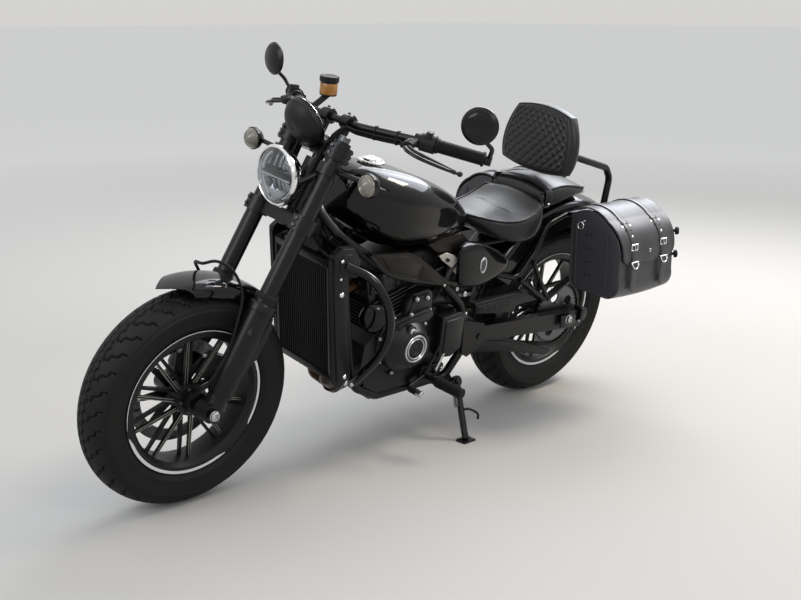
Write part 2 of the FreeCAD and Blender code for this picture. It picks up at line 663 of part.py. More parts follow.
pivot_plate = plate([(540, 420), (440, 392), (425, 347), (440, 312), (505, 285), (530, 300)],
                    137, 146)
stand_boss = rod(STAND_PIVOT - stand_axis * 42,
                 STAND_PIVOT - stand_axis * (STAND_EYE_HALF + mm.seat_gap), 15)
stand_pin = fused([rod(STAND_PIVOT - stand_axis * 20, STAND_PIVOT + stand_axis * 11, mm.stand_pin),
                   rod(STAND_PIVOT + stand_axis * (STAND_EYE_HALF + mm.seat_gap),
                       STAND_PIVOT + stand_axis * 12, 11)])
stand_lug = rod(STAND_PIVOT - stand_axis * 30, (560, 112, 226), 12)
pivot_bolt = rod(ARM_PIVOT - AXIS_Y * 150, ARM_PIVOT + AXIS_Y * 150, 12)


def mirrored(shape):
    """The same piece on the other side."""
    return shape.mirror(Vector(), AXIS_Y)


trim_tab = plate([(745, 600), (775, 608), (775, 650), (745, 642)], 128, TRIM_SIDE - mm.seat_gap)
left_frame = [side_rail, down_tube, seat_rail, pivot_plate, trim_tab]
head_tube = moved(rod((0, 0, mm.head_low), (0, 0, mm.head_high), mm.head_radius), STEERING)
# Columns: place along the bike, side, height, radius of the tubes that cross the frame.
CROSS_TUBES = [(566, 112, 214, 12), (958, 107, 285, 10), (950, 114, 684, 10), (568, 110, 640, 10)]
cross_tubes = [rod((x, -side, z), (x, side, z), radius) for x, side, z, radius in CROSS_TUBES]
tank_posts = [rod((950, 0, 684), (950, 0, 800), 14), rod((572, 0, 640), (572, 0, 730), 14)]
tank_seat = moved(tank, Placement(AXIS_Z * -mm.seat_gap, Rotation()))
tank_posts = [min(post.cut(tank_seat).Solids, key=lambda solid: solid.CenterOfMass.z)
              for post in tank_posts]
main_frame = fused(left_frame + [mirrored(piece) for piece in left_frame] + cross_tubes + tank_posts
                   + [head_tube, stand_boss, stand_lug, stand_pin, pivot_bolt])
stem_clear = moved(rod((0, 0, 500), (0, 0, 800), mm.stem_radius + mm.running_fit), STEERING)
node("main_frame", main_frame.cut(stem_clear))
seat_rail_clear = bent_tube(SEAT_RAIL, SEAT_TUBE + mm.seat_gap, 40)
fender_cross = rod((426, -113, 557), (426, 113, 557), FENDER_TUBE - 3)
# Columns: place along the bike and height of the bosses that hold the fender.
FENDER_BOSSES = [(170, 635), (20, 703)]
fender_bosses = [rod((x, side * 106, z), (x, side * (mm.fender_half + mm.seat_gap), z), 7)
                 for x, z in FENDER_BOSSES for side in (1, -1)]
subframe = fused([fender_rail, mirrored(fender_rail), fender_cross] + fender_bosses)
subframe = subframe.cut([seat_rail_clear, mirrored(seat_rail_clear)])
node("rear_subframe", max(subframe.Solids, key=lambda solid: solid.Volume))


SPOOL_HOLE = Vector(-64, 0, 305)


def swingarm():
    """Two box arms from the pivot to the axle, with a brace ahead of the tyre."""
    inner, outer = mm.arm_inner, mm.arm_inner + mm.arm_width
    arm = plate([(478, 372), (455, 378), (-112, 337), (-124, 324), (-98, 276), (-84, 274),
                 (440, 322), (472, 328)], inner, outer)
    pivot = rod(ARM_PIVOT - AXIS_Y * (inner + 4), ARM_PIVOT + AXIS_Y * (inner + 4), 21)
    brace = rod((385, -inner - 4, 342), (385, inner + 4, 342), 19)
    bores = [rod(ARM_PIVOT - AXIS_Y * 200, ARM_PIVOT + AXIS_Y * 200, 12 + mm.running_fit),
             rod(REAR_AXLE - AXIS_Y * 200, REAR_AXLE + AXIS_Y * 200, mm.axle_radius + mm.running_fit),
             rod(SPOOL_HOLE - AXIS_Y * 200, SPOOL_HOLE + AXIS_Y * 200, mm.spool_hole)]
    return fused([arm, mirrored(arm), pivot, brace]).cut(Part.makeCompound(bores))


guard = plate([(425, 452), (410, 462), (190, 462), (150, 452), (150, 446), (300, 440), (310, 380),
               (330, 340), (350, 340), (340, 390), (425, 440)], 102, mm.arm_inner - mm.seat_gap)
node("swingarm", Part.makeCompound([swingarm(), guard]))

DRIVE = Vector(575, 0, 385)


def belt_face(first, first_radius, second, second_radius):
    """The closed outline round two circles, seen from the side."""
    span = second - first
    angle = math.atan2(span.z, span.x)
    tip = math.acos((first_radius - second_radius) / span.Length)
    spots = []
    for centre, radius, turn in ((first, first_radius, angle + tip),
                                 (second, second_radius, angle + tip),
                                 (second, second_radius, angle - tip),
                                 (first, first_radius, angle - tip)):
        spots.append(centre + Vector(math.cos(turn), 0, math.sin(turn)) * radius)
    ahead = second + Vector(math.cos(angle), 0, math.sin(angle)) * second_radius
    behind = first - Vector(math.cos(angle), 0, math.sin(angle)) * first_radius
    return Part.Face(Part.Wire([Part.LineSegment(spots[0], spots[1]).toShape(),
                                Part.Arc(spots[1], ahead, spots[2]).toShape(),
                                Part.LineSegment(spots[2], spots[3]).toShape(),
                                Part.Arc(spots[3], behind, spots[0]).toShape()]))


chain_inner = mm.sprocket_radius + mm.chain_gap
drive_inner = mm.drive_radius + mm.chain_gap
chain_band = belt_face(REAR_AXLE, chain_inner + mm.chain_height, DRIVE,
                       drive_inner + mm.chain_height)
chain_band = chain_band.cut(belt_face(REAR_AXLE, chain_inner, DRIVE, drive_inner))
chain = moved(chain_band, Placement(AXIS_Y * (mm.chain_side - mm.chain_width / 2), Rotation()))
node("chain", chain.extrude(AXIS_Y * mm.chain_width))


def rear_caliper():
    """A caliper over the rear disc, on the right arm."""
    side = -mm.rear_disc_side
    block = Part.makeBox(66, 38, 56, Vector(48, side - 19, 372))
    foot = plate([(60, 344), (100, 347), (100, 380), (60, 380)], -135, side - 10)
    reach = mm.rear_disc_radius + 5
    slot = rod(REAR_AXLE + AXIS_Y * (side - mm.disc_thickness / 2 - 2.5),
               REAR_AXLE + AXIS_Y * (side + mm.disc_thickness / 2 + 2.5), reach)
    arm_clear = plate([(478, 372.3), (455, 378.3), (-112, 337.3), (-112, 300), (455, 300)],
                      -137, -107)
    return fused([block, foot]).cut(slot).cut(arm_clear)


node("rear_caliper", rear_caliper())

# Engine: crankcase, tilted cylinders, covers.
CASE_HALF, GEARBOX_HALF, SUMP_HALF = 112, 76, 48
DECK = Placement(Vector(800, 0, 457), Rotation(AXIS_Y, 15))
rail_top = 212 + tube + mm.seat_gap
case = plate([(642, rail_top), (642, 472), (690, 490), (703, 483), (897, 431), (930, 400),
              (938, 330), (905, rail_top)], -CASE_HALF, CASE_HALF)
gearbox = plate([(505, 290), (500, 400), (520, 440), (600, 470), (660, 472), (660, 240), (560, 244)],
                -GEARBOX_HALF, GEARBOX_HALF)
sump = plate([(690, 169), (690, 240), (850, 240), (850, 190), (830, 169)], -SUMP_HALF, SUMP_HALF)
pivot_clear = rod(ARM_PIVOT - AXIS_Y * 200, ARM_PIVOT + AXIS_Y * 200, 26)
rail_clear = bent_tube([(522, 124, 400), (515, 124, 300), (566, 112, 214), (661, 100, 212),
                        (855, 100, 212), (945, 106, 262), (978, 110, 320)], tube + 1, 50)
cross_clear = [rod((x, -side, z), (x, side, z), radius + 1) for x, side, z, radius in CROSS_TUBES[:2]]
shaft = rod(DRIVE + AXIS_Y * (GEARBOX_HALF - 4), DRIVE + AXIS_Y * (mm.chain_side + 6), 12)
drive_sprocket = rod(DRIVE + AXIS_Y * (mm.chain_side - 3), DRIVE + AXIS_Y * (mm.chain_side + 3),
                     drive_inner - mm.seat_gap)
engine_case = fused([case, gearbox, sump, shaft, drive_sprocket])
engine_case = engine_case.cut([pivot_clear, rail_clear, mirrored(rail_clear)] + cross_clear)
node("engine_case", engine_case)


def finned_block():
    """Cylinder block with fins, square to its tilted deck."""
    core = Part.makeBox(180, 172, 104, Vector(-90, -86, mm.seat_gap))
    fins = [Part.makeBox(204, 192, 4, Vector(-102, -96, 12 + 13 * number)) for number in range(7)]
    return fused([core] + fins)


HEAD_FRONT, PORT_HEIGHT, PORT_SIDE, HEADER = 88, 146, 38, 19
head_base = 104 + 2 * mm.seat_gap
cylinder_head = Part.makeBox(2 * HEAD_FRONT, 180, 84, Vector(-HEAD_FRONT, -90, head_base))
cylinder_head = cylinder_head.makeFillet(16, [edge for edge in cylinder_head.Edges
                                              if edge.CenterOfMass.z > head_base + 80])
node("cylinders", Part.makeCompound([finned_block(), cylinder_head]), DECK)

alternator_cover = turned([(0, 0), (92, 0), (88, 30), (64, 62), (58, 70), (40, 70), (38, 66), (0, 66)],
                          Placement(Vector(787, CASE_HALF + mm.seat_gap, 388),
                                    Rotation(AXIS_X, -90)))
clutch_cover = turned([(0, 0), (104, 0), (100, 34), (84, 58), (50, 66), (0, 66)],
                      Placement(Vector(735, -CASE_HALF - mm.seat_gap, 372), Rotation(AXIS_X, 90)))
sprocket_cover = plate([(552, 330), (552, 446), (570, 456), (641.7, 450), (641.7, 318), (590, 312)],
                       100, 146)
node("engine_covers", Part.makeCompound([alternator_cover, clutch_cover, sprocket_cover]))

node("radiator", plate([(1112, 706), (1084, 706), (1034, 318), (1062, 318)], -132, 132))
shroud = fused([plate([(1122, 714), (1060, 706), (1010, 330), (1046, 304), (1066, 316)],
                      132 + mm.seat_gap, 147),
                plate([(1120, 728), (1092, 748), (1046, 744), (1018, 702), (1024, 650), (1112, 664)],
                      132 + mm.seat_gap, 150)])
node("radiator_shrouds", both_sides(shroud))


def header(side, under):
    """One pipe from its flange on the head, down the front of the engine and back under it."""
    y = side * PORT_SIDE
    port, flange, elbow = (DECK.multVec(Vector(HEAD_FRONT + ahead, y, PORT_HEIGHT))
                           for ahead in (mm.seat_gap, 9, 60))
    pipe = bent_tube([tuple(port), tuple(elbow), (1008, y, 480), (1008, y, 330), (985, under, 262),
                      (900, -45, 194)], HEADER, 45)
    return [rod(port, flange, HEADER + 9), pipe]


def exhaust_headers():
    """Two pipes that join under the engine and lead to the right."""
    joint = bent_tube([(930, -30, 214), (900, -45, 194), (850, -85, 172), (700, -124, 170),
                       (610, -170, 200), (565, -196, 246)], HEADER + 4, 45)
    return fused(header(1, 10) + header(-1, -46) + [joint])


MUFFLER_FRONT, MUFFLER_REAR = Vector(564, -196.6, 247), Vector(80, -226, 330)
along = MUFFLER_REAR - MUFFLER_FRONT
muffler_place = Placement(MUFFLER_FRONT, Rotation(AXIS_Z, along))
muffler = turned([(0, 0), (26, 0), (48, 60), (50, along.Length - 40), (44, along.Length),
                  (30, along.Length), (28, along.Length - 30), (0, along.Length - 30)], muffler_place)
hanger_lug = rod((480, -146 - mm.seat_gap, 306), (480, -200, 306), 8)
node("muffler", fused([muffler, hanger_lug]))
muffler_seat = rod(MUFFLER_FRONT - along.normalize() * mm.seat_gap, MUFFLER_REAR, 60)
node("exhaust_headers", exhaust_headers().cut(muffler_seat))

# Tank, trims and side covers.
node("fuel_tank", tank)
cap_place = Placement(Vector(882, 0, 927), Rotation(AXIS_Y, -4))
node("fuel_cap", turned([(0, 0), (38, 0), (38, 14), (32, 19), (0, 23)], cap_place).cut(tank))
trim = plate([(958, 708), (812, 694), (667, 602), (650, 580), (800, 632), (900, 668)],
             TRIM_SIDE, TRIM_SIDE + 10)
node("tank_side_trims", both_sides(trim))
cover = plate([(596, 660), (560, 676), (440, 650), (350, 590), (352, 575), (430, 530), (506, 515),
               (600, 545)], 125, 134)
node("side_covers", both_sides(cover))

# Seats, backrest and rear fender.
seat_shape = lofted([(482, 30, 714, 742, 12), (440, 86, 690, 744, 22), (350, 148, 648, 744, 40),
                     (262, 154, 646, 766, 46), (214, 138, 690, 796, 36)])
fender_reach = mm.rear_tyre_radius + mm.fender_gap + 24 + mm.seat_gap
over_fender = rod(REAR_AXLE - AXIS_Y * (mm.fender_half + mm.seat_gap),
                  REAR_AXLE + AXIS_Y * (mm.fender_half + mm.seat_gap), fender_reach)
node("rider_seat", seat_shape.cut([over_fender, seat_rail_clear, mirrored(seat_rail_clear)]))
fender_top = REAR_AXLE.z + mm.rear_tyre_radius + mm.fender_gap + 24
node("pillion_seat", lofted([(208, 117, 738, 812, 28), (100, 118, 750, 829, 32),
                             (0, 108, fender_top + mm.seat_gap, 808, 24), (-70, 74, 756, 786, 13)]))


def backrest_pad():
    """A padded trapezoid with round corners, leaning back a little."""
    corners = [Vector(100, y, z) for y, z in ((-150, 856), (150, 856), (118, 1048), (-118, 1048))]
    pad = Part.Face(Part.makePolygon(corners + corners[:1])).extrude(AXIS_X * 50)
    pad = pad.makeFillet(34, [edge for edge in pad.Edges if abs(edge.CenterOfMass.x - 125) < 1])
    pad.rotate(Vector(125, 0, 868), AXIS_Y, -6)
    return pad


pad = backrest_pad()
node("backrest_pad", pad)
sissy_tube = bent_tube([(96, 60, 936), (56, 95, 907), (-140, 95, 850), (-168, 96, 810),
                        (-148, 106, 701)], 12, 40)
sissy_back = plate([(84, 890), (94, 890), (90, 1010), (80, 1010)], -70, 70)


fender_root = mm.rear_tyre_radius + mm.fender_gap - 20
rear_section = fender_section(fender_root, mm.fender_half, 62, 32, 12)
fender_crown = fender_root + 44
rear_fender = fender_shell(rear_section, 29, 112)
node("rear_fender", rear_fender, AT_REAR_AXLE)


def on_fender(angle, radius):
    """A point seen from the side, by its angle and distance about the rear axle."""
    turn = math.radians(angle)
    return (radius * math.cos(turn), REAR_AXLE.z + radius * math.sin(turn))


def away_from_axle(angle, step):
    """A short step along the line from the rear axle at an angle."""
    turn = math.radians(angle)
    return Vector(math.cos(turn), 0, math.sin(turn)) * step


TAIL_ANGLE, HOLDER_ANGLE = 135.5, 136.5
tail = Placement(REAR_AXLE + away_from_axle(TAIL_ANGLE, fender_crown),
                 Rotation(AXIS_Z, away_from_axle(TAIL_ANGLE, 1)))
tail_seat = moved(rear_fender, Placement(REAR_AXLE + away_from_axle(TAIL_ANGLE, mm.seat_gap),
                                         Rotation()))
lamp_body = turned([(0, -1.5), (34, -1.5), (34, 16), dome(34, 16, 25)], tail)
node("tail_lamp", max(lamp_body.cut(tail_seat).Solids, key=lambda solid: solid.Volume))
holder = plate([on_fender(134.5, fender_crown), on_fender(138.5, fender_crown), (-378, 470),
                (-372, 466)], -30, 30)
holder_seat = moved(rear_fender, Placement(REAR_AXLE + away_from_axle(HOLDER_ANGLE, -mm.seat_gap),
                                           Rotation()))
node("plate_holder", min(holder.cut(holder_seat).Solids,
                         key=lambda solid: (solid.CenterOfMass - REAR_AXLE).Length))

# Guards, pegs and foot controls.
guard = bent_tube([(1080, 151, 696), (1022, 215, 672), (986, 260, 592), (982, 268, 500),
                   (982, 226, 412), (984, 150, 318), (980, 126, 298)], mm.guard_tube, 55)
guard_clear = [bent_tube([(966, 108, 296), (978, 110, 320), (1012, 106, 500)], tube + mm.seat_gap, 50),
               moved(shroud, Placement(AXIS_Y * mm.seat_gap, Rotation()))]
guard_ends = guard.cut(guard_clear)
node("engine_guards", both_sides(max(guard_ends.Solids, key=lambda solid: solid.Volume)))
peg_bracket = [bent_tube([(262, 118, 505), (118, 124, 410)], 8),
               bent_tube([(205, 118, 560), (108, 124, 416)], 8),
               rod((110, 124, 413), (10, 130, 470), 12)]
fender_rail_clear = bent_tube(FENDER_RAIL, FENDER_TUBE + mm.seat_gap, 50)
node("passenger_pegs", both_sides(fused(peg_bracket).cut(fender_rail_clear)))
peg = rod((690, 176, 262), (675, 300, 258), 14)
hanger = plate([(660, 212), (720, 212), (738, 250), (700, 264), (660, 262)], 115, 128)
stub = rod((690, 120, 258), (690, 180, 262), 9)
toe = [bent_tube([(700, 150, 262), (790, 178, 258), (804, 200, 266)], 6, 20),
       rod((804, 196, 266), (804, 250, 266), 9)]
left_controls = fused([peg, hanger, stub] + toe)
shift_rod = rod((700, 150, 262), (612, 150, 411), 4)
node("foot_controls", Part.makeCompound([fused([left_controls, shift_rod]),
                                         mirrored(left_controls)]))

# Side stand, about its pin.
leg_line = (STAND_FOOT - STAND_PIVOT).normalize()
foot_world = PARKED.multVec(STAND_FOOT)
shoe = Part.makeBox(50, 40, 6, Vector(foot_world.x - 25, foot_world.y - 20, 0))
shoe = moved(shoe, PARKED.inverse())
stand = fused([rod(STAND_PIVOT - stand_axis * STAND_EYE_HALF, STAND_PIVOT + stand_axis * STAND_EYE_HALF,
                   STAND_EYE),
               rod(STAND_PIVOT + leg_line * (STAND_EYE - 1), STAND_FOOT - leg_line * 9, mm.stand_leg),
               shoe])
stand_bore = rod(STAND_PIVOT - stand_axis * 20, STAND_PIVOT + stand_axis * 20,
                 mm.stand_pin + mm.running_fit)
node("side_stand", stand.cut(stand_bore))

# Saddlebags: profile from the hinge outwards, extruded along the bike.
LID_CURVE = [(0, 6), (70, 24, 150, -12), (196, -60, 206, -148), (190, -148), (60, -20), (10, -5),
             (0, 1)]
BAG_OUTLINE = [(2, -1), (2, -225), (8, -243, 30, -250), (140, -262), (188, -248, 198.5, -200),
               (198.5, -148), (188.5, -64, 146, -18.5), (69, 17.5, 6, 0)]


def bag_place(side):
    """The hinge line of one bag, hung out on the left."""
    swing = mm.bag_swing if side > 0 else 0
    return Placement(Vector(mm.bag_front - mm.bag_length, mm.bag_hinge_side, mm.bag_hinge_height),
                     Rotation(AXIS_X, swing))


def bag_shell():
    """The open bag: back, bottom, end panels and the outer wall under the flap."""
    face = outline_face(BAG_OUTLINE, lambda y, z: Vector(0, y, z))
    block = face.extrude(AXIS_X * mm.bag_length)
    room = face.makeOffset2D(-mm.bag_wall).extrude(AXIS_X * (mm.bag_length - 2 * mm.bag_wall))
    room.translate(AXIS_X * mm.bag_wall)
    mouth = Part.makeBox(mm.bag_length - 2 * mm.bag_wall, 260, 160,
                         Vector(mm.bag_wall, 2 + mm.bag_wall, -100))
    return block.cut([room, mouth])


def bag_lid():
    """The flap over the top and down the outer wall, with a piped edge on its fold."""
    overhang, piping = 2, 1.9
    flap = outline_face(LID_CURVE, lambda y, z: Vector(-overhang, y, z))
    bag = outline_face(BAG_OUTLINE, lambda y, z: Vector(-overhang, y, z))
    face = flap.cut(bag.makeOffset2D(mm.seat_gap))
    length = mm.bag_length + 2 * overhang
    sheet = max(face.Faces, key=lambda piece: piece.Area).extrude(AXIS_X * length)
    return sheet.fuse(rod((-overhang, 0, 0), (length - overhang, 0, 0), piping))


shell, lid = bag_shell(), bag_lid()
for name, side in (("left", 1), ("right", -1)):
    for label, piece in ((f"{name}_saddlebag", shell), (f"{name}_bag_lid", lid)):
        hung = moved(piece, bag_place(side))
        node(label, hung if side > 0 else mirrored(hung))


def bag_rail(side):
    """The bar that the bag hangs against, with its two arms to the fender rail."""
    swing = math.radians(mm.bag_swing) if side > 0 else 0
    drop, radius = 13, 8
    y = (mm.bag_hinge_side + 2 * math.cos(swing) + drop * math.sin(swing) - radius / math.cos(swing)
         - mm.seat_gap)
    z = mm.bag_hinge_height - drop
    bar = rod((mm.bag_front - 20, y, z), (mm.bag_front - mm.bag_length + 20, y, z), radius)
    arms = [rod((50, y, z), (50, 106, 706), 7), rod((-130, y, z), (-130, 106, 701), 7)]
    return fused([bar] + arms).cut(fender_rail_clear)


sissy = fused([sissy_tube, mirrored(sissy_tube), sissy_back])
sissy = sissy.cut([pad, fender_rail_clear, mirrored(fender_rail_clear)])
node("luggage_rails", Part.makeCompound([sissy, bag_rail(1), mirrored(bag_rail(-1))]))

doc.recompute()
for feature in nodes:
    if "Invalid" in feature.State or "Error" in feature.State:
        raise SystemExit(f"{feature.Label} failed to build")
    if feature.Shape.isNull() or not feature.Shape.isValid() or not feature.Shape.Solids:
        raise SystemExit(f"{feature.Label} has no valid shape")
for feature in nodes:
    feature.Shape.exportStep(f"parts/{feature.Label}.step")
box = Part.makeCompound([feature.Shape for feature in nodes]).optimalBoundingBox(False, False)
print(f"{len(nodes)} nodes, box {box.XLength:.0f} x {box.YLength:.0f} x {box.ZLength:.0f}, "
      f"middle {box.Center.x:.1f} {box.Center.y:.1f}, floor {box.ZMin:.2f}")
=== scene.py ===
"""The finished look of a parked cruiser motorcycle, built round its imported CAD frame."""
import json
import math

import bmesh
import bpy
from mathutils import Matrix, Vector
from mathutils.kdtree import KDTree


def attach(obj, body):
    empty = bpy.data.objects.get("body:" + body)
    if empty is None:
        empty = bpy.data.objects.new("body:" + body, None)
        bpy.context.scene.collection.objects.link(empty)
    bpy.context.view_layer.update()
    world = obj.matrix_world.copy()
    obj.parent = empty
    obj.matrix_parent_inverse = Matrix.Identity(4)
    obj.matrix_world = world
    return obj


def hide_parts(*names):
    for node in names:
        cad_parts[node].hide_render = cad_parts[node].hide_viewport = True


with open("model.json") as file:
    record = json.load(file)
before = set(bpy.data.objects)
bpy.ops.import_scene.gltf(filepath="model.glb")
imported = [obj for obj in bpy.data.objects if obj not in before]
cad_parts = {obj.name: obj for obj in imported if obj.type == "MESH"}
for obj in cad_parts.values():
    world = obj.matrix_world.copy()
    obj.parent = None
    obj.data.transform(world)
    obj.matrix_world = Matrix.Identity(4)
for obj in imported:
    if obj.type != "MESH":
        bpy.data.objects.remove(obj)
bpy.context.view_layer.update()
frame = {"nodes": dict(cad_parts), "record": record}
nodes = frame["nodes"]

# Driving sizes of the motorcycle in millimetres and degrees, as in the CAD model.
LEAN, RAKE = math.radians(9.4), math.radians(28)
WHEELBASE, FORK_OFFSET = 1480, 44
FLOOR_MIDDLE = (711, 184.6, 0)
FRONT_AXLE_HEIGHT, REAR_AXLE_HEIGHT = 321.0, 324.2
FRONT_TYRE, REAR_TYRE = (320, 65, 45), (323, 75, 50)
BEAD, FLANGE = 203, 13

# Spaces: the upright bike, the steering (z up its axis) and both wheels, onto the row frame.
BIKE = (Matrix.Translation([-share / 1000 for share in FLOOR_MIDDLE])
        @ Matrix.Rotation(-LEAN, 4, "X") @ Matrix.Scale(0.001, 4))
FRONT_HUB = BIKE @ Matrix.Translation((WHEELBASE, 0, FRONT_AXLE_HEIGHT))
REAR_HUB = BIKE @ Matrix.Translation((0, 0, REAR_AXLE_HEIGHT))
STEERING = FRONT_HUB @ Matrix.Translation((-FORK_OFFSET * math.cos(RAKE), 0,
                                           -FORK_OFFSET * math.sin(RAKE))) \
    @ Matrix.Rotation(-RAKE, 4, "Y")
AXIS_X, AXIS_Y, AXIS_Z = Vector((1, 0, 0)), Vector((0, 1, 0)), Vector((0, 0, 1))


def camera_and_light():
    """The photograph's view, a pale studio and soft lamps."""
    scene = bpy.context.scene
    view = bpy.data.cameras.new("view")
    focal_px, frame_px = 1138.4, 801
    view.sensor_width = 36
    view.lens = focal_px / frame_px * view.sensor_width
    eye = bpy.data.objects.new("view", view)
    yaw, pitch = math.radians(-132.72), math.radians(-14.28)
    eye.location = Vector((3077, 2659, 1355)) / 1000 - Vector(FLOOR_MIDDLE) / 1000
    eye.rotation_euler = (math.pi / 2 + pitch, 0, yaw - math.pi / 2)
    scene.collection.objects.link(eye)
    scene.camera = eye
    scene.view_settings.view_transform = "Standard"
    # Columns: name, place and aim in metres, size in metres, watts, colour.
    lamps = [("key", (-2.6, 1.2, 3.6), (0, 0, 0.5), 1.1, 100, "#fff3e2"),
             ("front", (3.4, 0.2, 2.6), (0.3, 0, 0.5), 2.0, 45, "#f4f7ff"),
             ("side", (0.4, 3.8, 2.6), (0, 0, 0.5), 1.0, 26, "#ffffff"),
             ("sheen", (-2.7, 0.1, 3.3), (0, 0, 0.6), 2.8, 170, "#eef3ff"),
             ("back", (-2.5, -1.3, 3.1), (0, 0, 0.6), 2.6, 95, "#f6f9ff")]
    for name, place, aim, size, watts, colour in lamps:
        light = bpy.data.lights.new(name, "AREA")
        light.size, light.energy, light.color = size, watts, linear(colour)[:3]
        lamp = bpy.data.objects.new(name, light)
        lamp.location = place
        lamp.visible_diffuse = name != "sheen"
        lamp.rotation_euler = (Vector(aim) - Vector(place)).to_track_quat("-Z", "Y").to_euler()
        scene.collection.objects.link(lamp)
    pale_world(scene)
    pale_floor(scene)


def pale_floor(scene):
    """A wide plain floor, paler with distance so that it meets the sky without a line."""
    half, near, far = 90, 1.8, 8.0
    mesh = bpy.data.meshes.new("floor")
    mesh.from_pydata([(-half, -half, 0), (half, -half, 0), (half, half, 0), (-half, half, 0)],
                     [], [(0, 1, 2, 3)])
    floor = bpy.data.objects.new("floor", mesh)
    scene.collection.objects.link(floor)
    floor.data.materials.append(material("studio_floor", "#c6c5c2", roughness=0.95))
    tree = floor.data.materials[0].node_tree
    coords = add_node(tree, "ShaderNodeTexCoord").outputs["Object"]
    reach = add_node(tree, "ShaderNodeVectorMath", {0: coords}, operation="LENGTH").outputs["Value"]
    share = add_node(tree, "ShaderNodeMapRange", {0: reach, 1: near, 2: far}).outputs[0]
    tree.links.new(ramp(tree, share, (0, "#b9b8b5"), (1, "#f2f1ee")),
                   tree.nodes["Principled BSDF"].inputs["Base Color"])


def linear(hex_colour):
    """An sRGB hex colour as linear light, opaque."""
    parts = [int(hex_colour[start:start + 2], 16) / 255 for start in (1, 3, 5)]
    return (*[part / 12.92 if part <= 0.04045 else ((part + 0.055) / 1.055) ** 2.4
              for part in parts], 1.0)


def add_node(tree, kind, inputs=(), **settings):
    """One node, its settings, and its inputs: each a value or another node's socket."""
    node = tree.nodes.new(kind)
    for name, value in settings.items():
        setattr(node, name, value)
    for name, value in dict(inputs).items():
        if isinstance(value, bpy.types.NodeSocket):
            tree.links.new(value, node.inputs[name])
        else:
            node.inputs[name].default_value = value
    return node


def ramp(tree, value, *stops):
    """A colour from a value: each stop is a position and a hex colour."""
    node = add_node(tree, "ShaderNodeValToRGB", {0: value})
    for element, (position, colour) in zip(node.color_ramp.elements, stops):
        element.position, element.color = position, linear(colour)
    return node.outputs["Color"]


def pale_world(scene):
    """A pale sky that the camera and reflections see, with less light for matt surfaces."""
    world = bpy.data.worlds.new("studio")
    scene.world = world
    world.use_nodes = True
    tree = world.node_tree
    tree.nodes.clear()
    coords = add_node(tree, "ShaderNodeTexCoord")
    height = add_node(tree, "ShaderNodeSeparateXYZ", {0: coords.outputs["Generated"]})
    sky = ramp(tree, height.outputs["Z"], (0, "#d4d3d1"), (0.75, "#ffffff"))
    seen = add_node(tree, "ShaderNodeBackground", {"Color": sky, "Strength": 1.0})
    lit = add_node(tree, "ShaderNodeBackground", {"Color": linear("#f2f4f8"), "Strength": 0.75})
    path = add_node(tree, "ShaderNodeLightPath").outputs
    rays = path["Is Camera Ray"]
    for kind in ("Glossy", "Transmission"):
        rays = add_node(tree, "ShaderNodeMath", {0: rays, 1: path[f"Is {kind} Ray"]},
                        operation="ADD", use_clamp=True).outputs[0]
    mix = add_node(tree, "ShaderNodeMixShader", {0: rays, 1: lit.outputs[0], 2: seen.outputs[0]})
    add_node(tree, "ShaderNodeOutputWorld", {"Surface": mix.outputs[0]})


def material(name, colour, grain=None, shade=None, **shader):
    """A finish: a colour, shader values, a grain (size and depth in mm, kind) and a colour that
    varies in patches (second colour, patch size in mm)."""
    if name in bpy.data.materials:
        return bpy.data.materials[name]
    made = bpy.data.materials.new(name)
    made.use_nodes = True
    tree = made.node_tree
    tree.nodes.clear()
    coords = add_node(tree, "ShaderNodeTexCoord").outputs["Object"]
    values = {key.replace("_", " ").title().replace("Ior", "IOR"): value
              for key, value in shader.items()}
    values["Base Color"] = linear(colour)
    surface = add_node(tree, "ShaderNodeBsdfPrincipled", values)
    if shade:
        second, patch = shade
        cloud = add_node(tree, "ShaderNodeTexNoise", {"Vector": coords, "Scale": 1000 / patch,
                                                      "Detail": 5.0, "Roughness": 0.6})
        tree.links.new(ramp(tree, cloud.outputs["Fac"], (0.35, colour), (0.7, second)),
                       surface.inputs["Base Color"])
    if grain:
        size, depth, *kind = grain
        if kind == ["pebble"]:
            field = add_node(tree, "ShaderNodeTexVoronoi", {"Vector": coords, "Scale": 1000 / size},
                             feature="SMOOTH_F1").outputs["Distance"]
        else:
            stretch = (1, 12, 12) if kind == ["brushed"] else (1, 1, 1)
            lines = add_node(tree, "ShaderNodeMapping", {"Vector": coords, "Scale": stretch})
            field = add_node(tree, "ShaderNodeTexNoise", {"Vector": lines.outputs[0], "Detail": 3.0,
                                                          "Scale": 1000 / size}).outputs["Fac"]
        bump = add_node(tree, "ShaderNodeBump", {"Height": field, "Strength": 1.0,
                                                 "Distance": depth / 1000})
        tree.links.new(bump.outputs["Normal"], surface.inputs["Normal"])
    add_node(tree, "ShaderNodeOutputMaterial", {"Surface": surface.outputs[0]})
    return made


